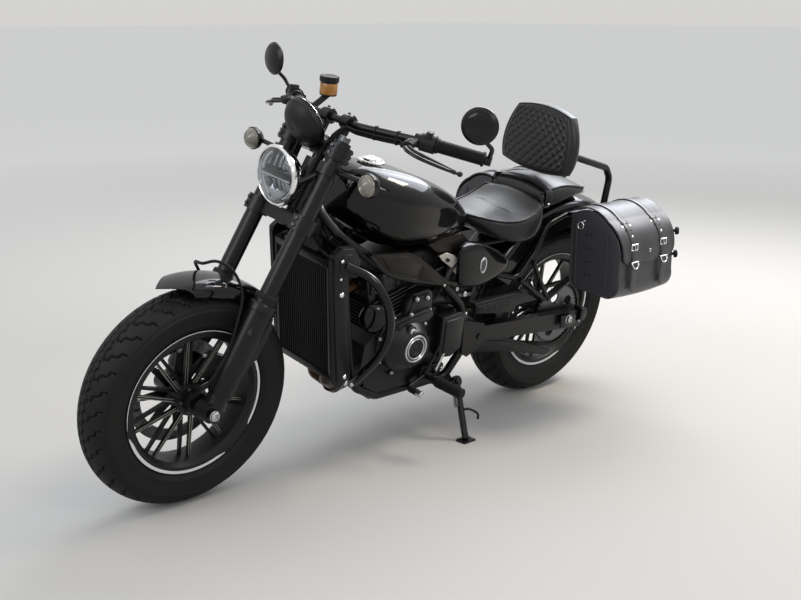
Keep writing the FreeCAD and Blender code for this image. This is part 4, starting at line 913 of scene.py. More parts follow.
def wheels():
    """Both wheels' tyres, stripes, spoke highlights, discs and hub details."""
    tread_pitches = 34
    # Columns: start and sweep in degrees about the axle, width in millimetres.
    spans = [(-120, 105, 8.5), (150, 62, 7), (-8, 130, 1.8)]
    ends = (("front", FRONT_HUB, FRONT_TYRE), ("rear", REAR_HUB, REAR_TYRE))
    for name, hub, size in ends:
        tyre(f"{name}_tyre", size, hub, f"{name}_wheel", tread_pitches)
    for name, hub, size in ends:
        for label, side in SIDES:
            rim_stripes(f"{name}_stripes_{label}", hub, f"{name}_wheel",
                        side * (size[2] + 5.15), spans)
    for name, hub, _ in ends:
        for label, side in SIDES:
            spoke_highlights(f"{name}_spoke_edges_{label}", hub, f"{name}_wheel", side)
    disc("front_disc_ring", FRONT_HUB, "front_wheel", -47, 155, ("front_disc",))
    disc("rear_disc_ring", REAR_HUB, "rear_wheel", -88, 120, ("rear_disc",))
    hub_details("front_hub", FRONT_HUB, "front_wheel", (60, -44), [(30.2, 36, 5, 11)])
    hub_details("rear_hub", REAR_HUB, "rear_wheel", (86.5, -85), [(93.2, 48, 5, 14)])


# Seats and backrest.
def over_fender(x, gap=6):
    """Height of the rear fender's crown below a place on the bike."""
    return REAR_AXLE_HEIGHT + math.sqrt(max(0, (FENDER_CROWN + gap) ** 2 - x ** 2))


# Columns: place along the bike, half width, low edge, high middle, fall to the shoulder.
RIDER_SEAT = [(485, 16, 719, 738, 3), (476, 36, 708, 742, 6), (448, 76, 692, 742, 10),
              (405, 116, 668, 738, 13), (352, 142, 651, 740, 17), (305, 151, 648, 749, 22),
              (262, 152, 652, 768, 28), (236, 148, 668, 785, 30), (220, 141, 686, 793, 28),
              (213, 126, 704, 788, 22)]
PILLION_SEAT = [(209, 108, 752, 800, 10), (200, 118, 742, 812, 14), (150, 119, 744, 824, 17),
                (100, 117, 750, 828, 18), (40, 112, 758, 820, 17), (-15, 101, 761, 806, 15),
                (-52, 86, 758, 794, 12), (-68, 70, 758, 784, 8), (-73, 50, 761, 778, 5)]


def seat_ring(x, half, low, high, fall):
    """One section across a seat: crowned top, upright sides, hollow over the fender."""
    top = [(share, high - fall * share ** 2) for share in (0, 0.3, 0.58, 0.8, 0.93)]
    side = [(0.99, high - fall - 11), (1.0, 0.45 * low + 0.55 * (high - fall)),
            (0.985, low + 16), (0.93, low + 3)]
    under = [(share, max(low, over_fender(x)) if share * half < 99 else low)
             for share in (0.8, 0.64, 0.4, 0.2)]
    right = [Vector((x, share * half, z)) for share, z in top + side + under]
    left = [Vector((spot.x, -spot.y, spot.z)) for spot in reversed(right[1:])]
    return right + [Vector((x, 0, right[-1].z))] + left


def seat(name, table, node, cap):
    """A stuffed seat with piping along its shoulders and a second sewn line below."""
    rings = [seat_ring(*row) for row in table]
    shape = bmesh.new()
    loft(shape, rings)
    shoulder, skirt = 4, 7
    seams = [flowing([ring[place] if side > 0 else ring[-place] for ring in rings], 8)
             for place in (shoulder, skirt) for side in (1, -1)]
    cage = rounded(shape, 2)
    made = piece(name, stuffed(cage, [spot for path in seams for spot in path], cap),
                 "seat_leather", "frame", instead_of=(node,), smooth=80)
    for number, path in enumerate(seams[:2]):
        piping = bmesh.new()
        pipe(piping, path, 2.6, sides=8)
        piece(f"{name}_piping_{number}", piping, "seat_leather", "frame", smooth=80)
    for number, path in enumerate(seams):
        lowered = [spot + Vector((0, math.copysign(0.5, spot.y), -5)) for spot in path[6:-6]]
        stitches(f"{name}_stitches_{number}", lowered, "rubber", "frame")


def pillion_band():
    """The wide strap over the front of the pillion seat, with its studs."""
    band, rows = bmesh.new(), []
    for x in (166, 168, 194, 196):
        ring = seat_ring(x, 121, 744, 824, 17)
        spots = ring[9::-1]
        spots += [Vector((spot.x, -spot.y, spot.z)) for spot in reversed(spots[:-1])]
        lift = 2.5 if x in (168, 194) else 0.5
        middle = Vector((x, 0, 770))
        rows.append([spot + (spot - middle).normalized() * lift for spot in spots])
    hide_sheet(band, rows, 2.4)
    piece("pillion_band", rounded(band, 2), "seat_leather", "frame", smooth=60,
          slot="black_leather")
    fastened_pairs("pillion_band_studs", domed_head(), [(181, 124, 762, 9)], "chrome", "frame",
                   (0, 1, 0.1))


def pad_point(across, up, lift, depth=25):
    """A place on the backrest: shares across and up from its middle, and a lift off its face."""
    pull = 0.32
    y = across * math.sqrt(1 - pull * up * up)
    z = up * math.sqrt(1 - pull * across * across)
    half = (131 - 16 * z) / math.sqrt(1 - pull)
    edge = 1 - max(abs(across), abs(up))
    near = min(1, edge * 118 / 25)
    face = depth * math.sqrt(max(0, 1 - (1 - near) ** 2))
    return Vector((math.copysign(face + lift, depth if depth else 1), y * half * 0.985,
                   84 + z * 96 / math.sqrt(1 - pull) * 0.985)), edge


def backrest():
    """A stuffed pad: its front quilted in diamonds inside a plain border, its back flat."""
    steps, wide, tall, border = 150, 27, 30, 0.17
    shares = [math.sin(math.pi / 2 * (2 * number / steps - 1)) for number in range(steps + 1)]
    shape = bmesh.new()
    for front in (True, False):
        rows = []
        for up in shares:
            row = []
            for across in shares:
                edge = 1 - max(abs(across), abs(up))
                y, z = across * 134, up * 96
                cross = abs(math.sin(math.pi * (y / wide + z / tall))
                            * math.sin(math.pi * (y / wide - z / tall)))
                inside = smooth_step(border, border + 0.03, edge)
                crown = 5 * (1 - across ** 2) * (1 - up ** 2)
                trench = 2.4 * (1 - smooth_step(0, 0.022, abs(edge - border - 0.005)))
                lift = (4.2 * cross ** 0.45 - 1.6) * inside * front + crown - trench * front
                spot, _ = pad_point(across, up, lift * smooth_step(0.0, 0.05, edge))
                row.append(shape.verts.new(spot if front else Vector((-spot.x, spot.y, spot.z))))
            rows.append(row)
        for low, high in zip(rows, rows[1:]):
            skin(shape, low, high, closed=False)
    made = piece("backrest_pad_cover", shape, "seat_leather", "frame", PAD_SPACE,
                 instead_of=("backrest_pad",), smooth=80)
    for name, share, radius, lift in (("front", 0.945, 2.6, 1.0),
                                      ("border", 1 - border - 0.005, 1.7, 0.6)):
        corners = [(-1, -1), (1, -1), (1, 1), (-1, 1)]
        loop = [(a[0] + (b[0] - a[0]) * n / 24, a[1] + (b[1] - a[1]) * n / 24)
                for a, b in zip(corners, corners[1:] + corners[:1]) for n in range(24)]
        path = [pad_point(across * share, up * share, lift)[0] for across, up in loop]
        piping = bmesh.new()
        pipe(piping, path + path[:1], radius, sides=8)
        piece(f"backrest_piping_{name}", piping, "seat_leather", "frame", PAD_SPACE, smooth=80)


# Saddlebags, each in a space with x forward from its rear end, y outwards, z up from its hinge.
BAG_LENGTH, BAG_REAR, HINGE_SIDE, HINGE_HEIGHT, BAG_SWING = 295, -195, 166, 735, 9
FLAP_LINE = profile([(0, 6), (70, 24, 150, -12), (196, -60, 206, -148)], 16)
SHELL_LINE = profile([(2, -6), (2, -225), (8, -243, 30, -250), (140, -262),
                      (188, -248, 198.5, -200), (198.5, -102)], 8)
END_LINE = profile([(2, -1), (2, -225), (8, -243, 30, -250), (140, -262), (188, -248, 198.5, -200),
                    (198.5, -148), (188.5, -64, 146, -18.5), (69, 17.5, 6, 0)], 10)


def bag_space(side):
    """The space of one saddlebag."""
    place = Matrix.Translation((BAG_REAR, HINGE_SIDE, HINGE_HEIGHT))
    if side > 0:
        return BIKE @ place @ Matrix.Rotation(math.radians(BAG_SWING), 4, "X")
    return BIKE @ Matrix.Scale(-1, 4, (0, 1, 0)) @ place


def flap_point(share, x, lift=0.0):
    """A place on the flap: a share of the way down its line, and along the bag."""
    spot = share * (len(FLAP_LINE) - 1)
    number = min(int(spot), len(FLAP_LINE) - 2)
    (y, z), (after_y, after_z) = FLAP_LINE[number], FLAP_LINE[number + 1]
    run = Vector((after_y - y, after_z - z)).normalized()
    y, z = y + (after_y - y) * (spot - number), z + (after_z - z) * (spot - number)
    return Vector((x, y - run.y * lift, z + run.x * lift))


def bag(label, side, body):
    """One saddlebag: the open shell on the frame and the flap on its lid."""
    space = bag_space(side)
    shell, rows = bmesh.new(), []
    for number in range(25):
        x = BAG_LENGTH * number / 24
        bow = math.sin(math.pi * number / 24)
        row = []
        for y, z in SHELL_LINE:
            low = smooth_step(-150, -235, z)
            row.append(Vector((x, y + (3.0 * bow if y > 150 else 0) * (1 - low * 0.4),
                               z - 5 * bow * low)))
        rows.append(row)
    hide_sheet(shell, rows, 4.5)
    piece(f"{label}_bag_shell", shell, "bag_leather", "frame", space,
          instead_of=(f"{label}_saddlebag",), smooth=50, slot="bag_leather")
    ends = bmesh.new()
    for x, out in ((0, -1), (BAG_LENGTH, 1)):
        middle = Vector((x, 100, -120))
        rings = []
        for share, bulge in ((1, 0), (0.96, 1.2), (0.7, 3.2), (0.35, 4.4)):
            rings.append([middle + (Vector((x, y, z)) - middle) * share + AXIS_X * out * bulge
                          for y, z in END_LINE])
        made_rings = loft(ends, rings, caps=False)
        ends.faces.new(made_rings[-1])
        inner = loft(ends, [[spot - AXIS_X * out * (4.5 + 2 * bulge) for spot in ring]
                            for ring, bulge in ((rings[0], 0), (rings[3], 0))], caps=False)
        ends.faces.new(inner[-1])
        skin(ends, made_rings[0], inner[0])
    piece(f"{label}_bag_ends", ends, "bag_leather", "frame", space, smooth=50, slot="bag_leather")
    seam = bmesh.new()
    for x in (0.5, BAG_LENGTH - 0.5):
        pipe(seam, [(x, y, z) for y, z in END_LINE[3:-14]], 3.0, sides=8, up=AXIS_X)
    for x, y in ((BAG_LENGTH + 3.4, 152), (BAG_LENGTH + 3.2, 24)):
        pipe(seam, [(x, y, -44), (x + 0.6, y, -120), (x - 0.6, y, -238)], 1.6, sides=8, up=AXIS_X)
    piece(f"{label}_bag_piping", seam, "bag_leather", "frame", space, smooth=80)
    stitches(f"{label}_bag_stitches", [(BAG_LENGTH + 2.6, 160, z) for z in (-60, -232)], "rubber",
             "frame", space)
    studs = [(Vector((BAG_LENGTH + 4.2, 78 + pair, z)), AXIS_X, 8.5)
             for z in (-62, -108, -154, -200) for pair in (-9, 9)]
    fastened(f"{label}_bag_snaps", domed_head(), studs, "satin_black", "frame", space)
    rings = bmesh.new()
    ring(rings, (BAG_LENGTH + 9, 44, -36), AXIS_X, 12, 1.8)
    pipe(rings, [(BAG_LENGTH + 3, 30, -18), (BAG_LENGTH + 10, 44, -26), (BAG_LENGTH + 3, 58, -18)],
         2, 8)
    piece(f"{label}_bag_ring", rings, "chrome", "frame", space, smooth=80)
    bumpers = bmesh.new()
    for z in (-70, -150):
        lathe(bumpers, [(5, 0), (5, 9), (13, 11), (14, 17), (11, 22), (0, 23)],
              facing((-2, 196, z), (-0.7, 0.75, 0)), steps=20)
    piece(f"{label}_bag_bumpers", bumpers, "rubber", "frame", space)
    flap(label, space, body)
    for number, x in enumerate((75, 235)):
        strap(f"{label}_strap_{number}", x, space, body)


def ring(shape, middle, axis, radius, wire):
    """A wire ring."""
    place = facing(middle, axis)
    turns = [math.radians(360 * number / 28) for number in range(29)]
    pipe(shape, [place @ Vector((radius * math.cos(turn), radius * math.sin(turn), 0))
                 for turn in turns], wire, sides=8, up=Vector(axis))


def flap(label, space, body):
    """The leather flap, its corners rounded, with a raised border and its piping."""
    flap_shape, rows, count = bmesh.new(), [], 60
    reach = sum(math.dist(a, b) for a, b in zip(FLAP_LINE, FLAP_LINE[1:]))
    edges = {1: [], -1: []}
    for number in range(count + 1):
        share = number / count
        left = (1 - share) * reach
        cut = 0 if left > 34 else 34 - math.sqrt(max(0, 34 ** 2 - (34 - left) ** 2))
        cut += 10 * smooth_step(0.5, 1, share)
        first, last = -2 + cut, BAG_LENGTH + 2 - cut
        row = []
        for step in range(41):
            across = step / 40
            x = first + (last - first) * across
            border = min(x - first, last - x, max(left, 0.1))
            lift = 1.3 * (1 - smooth_step(9, 11.5, border))
            lift += 2.2 * math.sin(math.pi * across) * share
            lift += 1.6 * math.sin(3 * math.pi * across) ** 2 * smooth_step(0.3, 0.9, share)
            row.append(flap_point(share, x, lift))
        rows.append(row)
        edges[-1].append(flap_point(share, first + 10.5, 1.4))
        edges[1].append(flap_point(share, last - 10.5, 1.4))
    hide_sheet(flap_shape, rows, 3.4)
    piece(f"{label}_flap", flap_shape, "bag_leather", body, space, instead_of=(f"{label}_bag_lid",),
          smooth=60, slot="bag_leather")
    rims = bmesh.new()
    outline = [row[0] for row in rows] + rows[-1][1:-1] + [row[-1] for row in reversed(rows)]
    pipe(rims, outline, 2.3, sides=8, up=AXIS_Y)
    pipe(rims, edges[1][:-7], 1.0, sides=6, up=AXIS_X)
    pipe(rims, edges[-1][:-7], 1.0, sides=6, up=AXIS_X)
    piece(f"{label}_flap_piping", rims, "bag_leather", body, space, smooth=80)
    stud = bmesh.new()
    middle, out = flap_point(0.9, 148, 4.5), Vector((0, 1, -0.1))
    ring(stud, middle, out, 8, 2)
    lathe(stud, [(5, -2), (5, 1), (3, 3), (0, 3.6)], facing(middle, out), steps=16)
    piece(f"{label}_flap_button", stud, "chrome", body, space, smooth=50)
    dots = [(flap_point(0.9, 148, 3) + Vector(step), out, 5)
            for step in ((-16, 0, 2), (16, 0, 2), (0, 0, -16))]
    fastened(f"{label}_flap_rivets", domed_head(), dots, "chrome", body, space)


def strap(name, x, space, body):
    """A strap over the flap with keeper studs, a roller buckle, a D-ring and its hanging tail."""
    band, rows = bmesh.new(), []
    for number in range(61):
        share = number / 60
        half = 11 + 2.5 * smooth_step(0.6, 0.72, share)
        rows.append([flap_point(share * 0.99, x + across * half, 4.2 + 0.8 * (1 - across ** 2))
                     for across in (-1, -0.9, -0.5, 0, 0.5, 0.9, 1)])
    hide_sheet(band, rows, 3.4)
    end = flap_point(0.99, x, 6)
    tail_rows = []
    for number in range(15):
        share = number / 14
        half = 11.5 * math.sqrt(max(0.06, 1 - max(0, (share - 0.86) / 0.145) ** 2))
        spot = end + Vector((0, 3 - 9 * share ** 2 + 5 * share, 26 - 122 * share))
        tail_rows.append([spot + Vector((across * half + 3 * share, 0.8 * (1 - across ** 2), 0))
                          for across in (-1, -0.9, -0.4, 0.4, 0.9, 1)])
    hide_sheet(band, tail_rows, 3)
    piece(name, band, "bag_leather", body, space, smooth=60, slot="bag_leather")
    metal = bmesh.new()
    middle = flap_point(0.83, x, 8)
    for low, high in (((-16, 9), (16, 9)), ((-16, -9), (16, -9)), ((-16, 9), (-16, -9)),
                      ((16, 9), (16, -9))):
        pipe(metal, [middle + Vector((low[0], 0, low[1])), middle + Vector((high[0], 0, high[1]))],
             2.6 if low[1] == high[1] == 9 else 1.8, sides=10, up=AXIS_Y)
    pipe(metal, [middle + Vector((0, 0.5, 9)), middle + Vector((0, 3.5, -12))], 1.5, sides=8,
         up=AXIS_Y)
    low = flap_point(0.985, x, 11)
    turns = [math.radians(180 + 9 * number) for number in range(21)]
    half_ring = [low + Vector((17 * math.cos(turn), 3 - 5 * math.sin(turn),
                               4 + 21 * math.sin(turn))) for turn in turns]
    pipe(metal, half_ring + half_ring[:1], 2.4, sides=8, up=AXIS_Y)
    piece(f"{name}_buckle", metal, "chrome", body, space, smooth=60)
    for share in (0.56, 0.64):
        keeper = bmesh.new()
        rows = [[flap_point(share + step, x + across * 14.5, 8.2 - 2.8 * abs(across) ** 6)
                 for across in (-1, -0.95, -0.6, 0, 0.6, 0.95, 1)] for step in (-0.014, 0, 0.014)]
        hide_sheet(keeper, rows, 2.2)
        piece(f"{name}_keeper_{round(share * 100)}", keeper, "bag_leather", body, space, smooth=60)
    dots = [(flap_point(0.6, x + step, 3.2), flap_point(0.6, x, 9) - flap_point(0.6, x, 8), 11)
            for step in (-21, 21)]
    dots.append((flap_point(0.72, x, 8.0), Vector((0, 1, 0.1)), 9))
    fastened(f"{name}_studs", domed_head(), dots, "chrome", body, space)


def soft_goods():
    """Seats, backrest and bags."""
    seat("rider_seat_cover", RIDER_SEAT, "rider_seat", 7)
    seat("pillion_seat_cover", PILLION_SEAT, "pillion_seat", 6)
    pillion_band()
    backrest()
    bag("left", 1, "left_lid")
    bag("right", -1, "right_lid")


# Front end.
def headlamp():
    """A chromed bowl with a silvered reflector, a crossbar, facets and a clear lens."""
    shell = bmesh.new()
    lathe(shell, [(0, -67), (30, -65.5), (52, -55), (68, -39), (78, -20), (80, -14), (84, -13),
                  (85.5, -9), (85.5, -1), (84, 2.5), (80, 4.5), (77.5, 3), (76.5, -1)], LAMP,
          steps=72)
    lathe(shell, [(0, -64), (30, -62.5), (50, -53), (66, -38), (75, -20), (76.5, -1)], LAMP,
          steps=72)
    piece("headlamp_shell", shell, "chrome", "steering", instead_of=("headlamp_bucket",),
          outwards=False, slot="chrome")
    bowl = bmesh.new()
    lathe(bowl, [(76, -2), (70, -14), (56, -30), (38, -41), (20, -46), (0, -47)], LAMP, steps=72)
    for sign in (1, -1):
        for number in range(-3, 4):
            place = LAMP @ at(sign * 36, number * 17, -34 + 1.6 * number * number)
            block(bowl, (46 - 3 * abs(number), 14.5, 9), place @ at(turn=14 * sign), 3)
    piece("headlamp_reflector", bowl, "reflector", "steering", outwards=False, smooth=30)
    bar = bmesh.new()
    block(bar, (9, 138, 30), LAMP @ at(0, 0, -19), 2.5)
    piece("headlamp_bar", bar, "moulded_black", "steering")
    beams = bmesh.new()
    for sign in (1, -1):
        arc = [LAMP @ Vector((66 * math.cos(turn), sign * 66 * math.sin(turn), -9))
               for turn in [math.radians(28 + 124 * number / 20) for number in range(21)]]
        pipe(beams, arc, 3.4, sides=8)
    pipe(beams, [LAMP @ Vector((4.6, -60, -3)), LAMP @ Vector((4.6, 60, -3))], 2.0, sides=8)
    piece("headlamp_beams", beams, "silver_tape", "steering")
    turned("headlamp_glass", [(0, 14), (20, 13.5), (40, 11.6), (58, 8.4), (70, 4.6), (76.6, 0.5),
                              (75.5, -1), (69, 2.4), (57, 6.2), (39, 9.4), (20, 11.2), (0, 11.7)],
           "clear_lens", "steering", LAMP, steps=72, instead_of=("headlamp_lens",),
           slot="lamp_glass")
    screws = []
    for angle, ahead in ((70, (0, 1, 0.3)), (180, AXIS_Z), (290, (0, -1, 0.3))):
        turn = math.radians(angle)
        screws.append((LAMP @ Vector((62 * math.cos(turn), 62 * math.sin(turn), -46)), ahead, 7))
    fastened("headlamp_screws", socket_head(), screws, "brushed_steel", "steering")


def instruments():
    """The meter's ring, dial and glass, and the signals' ribbed lenses."""
    turned("gauge_ring", [(66, 8), (67, 13), (69, 15), (70.8, 14), (70.8, 9), (70, 7)],
           "gloss_black", "steering", steps=72, space=GAUGE)
    # A thin chrome line on the ring's top edge, put there as a painted highlight.
    turned("gauge_bright_line", [(69.2, 14.6), (69.6, 15.4), (70.6, 14.8), (71, 13.6)], "chrome",
           "steering", steps=72, space=GAUGE)
    turned("gauge_dial", [(65, 9.2), (58, 9.3), (57, 8.2), (22, 8.2), (21, 9.4), (0, 9.4)],
           "moulded_black", "steering", steps=64, space=GAUGE)
    marks, needle = bmesh.new(), bmesh.new()
    for number in range(41):
        place = at(turn=-130 + 6.5 * number, about="Z")
        block(marks, (7 if number % 5 == 0 else 4, 1.2 if number % 5 == 0 else 0.7, 0.5),
              place @ at(52, 0, 9.6), 0)
    piece("gauge_marks", marks, "silver_tape", "steering", GAUGE)
    block(needle, (44, 1.6, 1.2), at(turn=205, about="Z") @ at(20, 0, 10.6), 0.3)
    lathe(needle, [(6, 9.4), (6, 11.4), (4, 12.4), (0, 12.6)], steps=20)
    piece("gauge_needle", needle, "red_lens", "steering", GAUGE)
    turned("gauge_glass", [(65.5, 12), (40, 14.2), (0, 15), (0, 13.8), (40, 13), (65.5, 10.8)],
           "clear_lens", "steering", steps=64, space=GAUGE)
    for label, side in SIDES:
        place = at(1106, side * 260, 962, 90)
        lens, line = bmesh.new(), []
        for number in range(31):
            radius = 30.5 - number
            line.append((radius, 15.5 + 22 * math.sqrt(max(0, 1 - (radius / 31) ** 2)) ** 1.3
                         + (0.9 if number % 3 == 1 else 0)))
        lathe(lens, [(31, 12), (31, 15)] + line + [(0, line[-1][1])], place, steps=48)
        piece(f"front_signal_lens_{label}", lens, "smoked_lens", "steering")
        turned(f"front_signal_rim_{label}", [(31, 10), (33.2, 10.4), (33.6, 13), (33.2, 16),
                                             (31.5, 16.6)], "gloss_black", "steering", place,
               steps=48)


def bar_details():
    """Ribs on the grips, the brake reservoir, clamp screws, cables and the hose loop."""
    start, turn_at = Vector((860, 424, 1053)), Vector((968, 262, 1076))
    inward = (turn_at - start).normalized()
    for label, side in SIDES:
        mirror = Matrix.Diagonal((1, side, 1, 1))
        line, rib = [(11.6, 2), (19, 2), (20.5, 4), (20.5, 8), (18, 10)], 12
        while rib < 128:
            line += [(17.2, rib), (17.2, rib + 1.4), (18.4, rib + 2), (18.4, rib + 3.8),
                     (17.2, rib + 4.4)]
            rib += 5
        line += [(20, 130), (21, 132), (21, 137), (19, 138.4), (11.6, 138.4)]
        turned(f"grip_{label}", line, "rubber", "steering", mirror @ facing(start, inward),
               steps=40, instead_of=("grips",) if side > 0 else (), slot="grip_rubber")
        box = bmesh.new()
        block(box, (30, 40, 18), mirror @ facing(start + inward * 160, inward) @ at(6, 14, 0), 4)
        block(box, (20, 10, 12), mirror @ facing(start + inward * 156, inward) @ at(-22, 0, 0), 3)
        piece(f"switch_box_{label}", box, "moulded_black", "steering")
        blade, perch = bmesh.new(), mirror @ facing(start + inward * 182, inward)
        reach = flowing([mirror @ Vector(p) for p in ((1002, 262, 1067), (1024, 292, 1060),
                                                      (1020, 330, 1050), (990, 372, 1036),
                                                      (958, 404, 1024), (944, 418, 1020))], 6)
        pipe(blade, reach, 8.4, sides=14, flat=0.62, taper=lambda share: 1.1 - 0.42 * share)
        lathe(blade, [(0, -8), (5.6, -5.6), (8, 0), (5.6, 5.6), (0, 8)],
              Matrix.Translation(reach[-1]), steps=18)
        piece(f"lever_blade_{label}", blade, "gloss_black", "steering", smooth=60)
        mount = bmesh.new()
        lathe(mount, [(12, -17), (19, -16), (20, -12), (20, 12), (19, 16), (12, 17)], perch,
              steps=28)
        arm = (start.lerp(turn_at, 0.93), Vector((990, 262, 1072)), Vector((1004, 262, 1067)))
        pipe(mount, [mirror @ spot for spot in arm], 11, sides=14, flat=0.8)
        lathe(mount, [(13, -9), (14, -7), (14, 7), (13, 9)], mirror @ at(1004, 262, 1067), steps=20)
        piece(f"lever_perch_{label}", mount, "satin_black", "steering", smooth=50)
        spots = [(mirror @ (start + inward * (185 + step) + Vector((-6, 0, 14))),
                  mirror @ Vector((-0.3, 0, 1)), 8) for step in (-8, 8)]
        fastened(f"lever_clamp_screws_{label}", socket_head(), spots, "brushed_steel", "steering")
        cable = bmesh.new()
        bend = STEERING_TO_BIKE @ Vector((-7, 95, 880))
        head = [STEERING_TO_BIKE @ Vector(spot)
                for spot in ((10, 60, 866), (36, 54, 806), (34, 50, 690))]
        for radius, lift in ((5, Vector((4, 0, -17))), (4, Vector((14, 0, -8))),
                             (3.4, Vector((-12, 0, -14)))):
            route = [turn_at + Vector((16, 4, -8)), turn_at.lerp(bend, 0.12) + lift,
                     turn_at.lerp(bend, 0.5) + lift * 1.2, bend + lift * 1.1]
            route += [spot + lift * 0.6 for spot in head]
            pipe(cable, flowing([mirror @ spot for spot in route], 8), radius, sides=10)
        piece(f"bar_cables_{label}", cable, "rubber", "steering", smooth=80)
        clips = bmesh.new()
        for share in (0.3, 0.7):
            spot = turn_at.lerp(bend, share)
            for low, inner, outer, half, count in ((Vector(), 12, 13.5, 3, 24),
                                                   (Vector((4, 0, -16)), 9.5, 10.5, 2.5, 20)):
                lathe(clips, [(inner, -half), (outer, -half), (outer, half), (inner, half)],
                      mirror @ facing(spot + low, bend - turn_at), steps=count)
        piece(f"bar_clips_{label}", clips, "moulded_black", "steering")
    turned("reservoir_fluid", [(25.2, 4), (25.8, 5), (25.8, 35), (25.2, 36)], "amber_fluid",
           "steering", RESERVOIR, steps=36)
    turned("reservoir_cap", [(28.4, 39.5), (29, 41), (29, 53), (27.6, 55.6), (20, 56.2), (18, 55.2),
                             (0, 55.2)], "moulded_black", "steering", RESERVOIR, steps=12,
           smooth=20)
    fastened_pairs("riser_screws", socket_head(), [(-18, 45, 901, 9), (4, 45, 901, 9)],
                   "satin_black", "steering", AXIS_Z, STEERING_TO_BIKE)
    hose = bmesh.new()
    loop = [(1352, -92, 560), (1400, -88, 650), (1452, -30, 704), (1484, 52, 732), (1470, 96, 750),
            (1442, 124, 733), (1419, 134, 690), (1414, 140, 650), (1424, 142, 600),
            (1450, 142, 508), (1490, 140, 443), (1524, 128, 400), (1528, 104, 372)]
    pipe(hose, flowing(loop, 8), 4.6, sides=10, taper=lambda share: 1.0 - 0.3 * share)
    piece("front_hose", hose, "rubber", "steering", smooth=80)
    for label, side in SIDES:
        back = bmesh.new()
        middle = Vector((924, side * 446, 1153))
        swing = math.radians(33 if side > 0 else 5)
        look = Vector((math.cos(swing), side * math.sin(swing), 0))
        lathe(back, [(0, 12), (14, 11.6), (30, 9.4), (42, 5.4), (48, 0), (50, -2), (50, -5.5),
                     (48, -7), (46.5, -6)], facing(middle, look), steps=56)
        piece(f"mirror_back_{label}", back, "gloss_black", "steering")
        turned(f"mirror_glass_{label}", [(47, -6.6), (40, -6.9), (0, -7.2)], "reflector",
               "steering", facing(middle, look), steps=48, outwards=False)


def front_fender():
    """A short pressed fender whose lip runs to a point at the crown."""
    section = [(69.3, 0, 1), (69.3, 8, 0.5), (67.5, 17, 0), (62, 24, 0), (54, 30, 0), (42, 33.5, 0),
               (28, 35.6, 0), (14, 36.8, 0), (0, 37.4, 0)]
    section += [(-y, rise, edge) for y, rise, edge in reversed(section[:-1])]
    shape, rows = bmesh.new(), []
    for step in range(41):
        share, row = step / 40, []
        for y, rise, edge in section:
            wide = abs(y) / 69.3
            first, last = 72 + 12 * wide ** 1.1, 128 - 4 * wide ** 3
            turn = math.radians(first + (last - first) * share)
            skirt = 18 * smooth_step(76, 100, math.degrees(turn))
            radius = 318 + rise - edge * skirt + edge * 14
            if edge == 0.5:
                radius = 326 + rise * 0.4 - 0.25 * skirt
            row.append(Vector((radius * math.cos(turn), y, radius * math.sin(turn))))
        rows.append(row)
    hide_sheet(shape, rows, -2.6)
    piece("front_fender_skin", shape, "gloss_black", "steering", FRONT_HUB,
          instead_of=("front_fender",), smooth=60, slot="gloss_black_paint")
    fastened_pairs("fender_bolts", hex_head(), [(LEG_X - 6, LEG_Y + 31, 316, 12)],
                   "satin_black", "steering", place=STEERING_TO_BIKE)


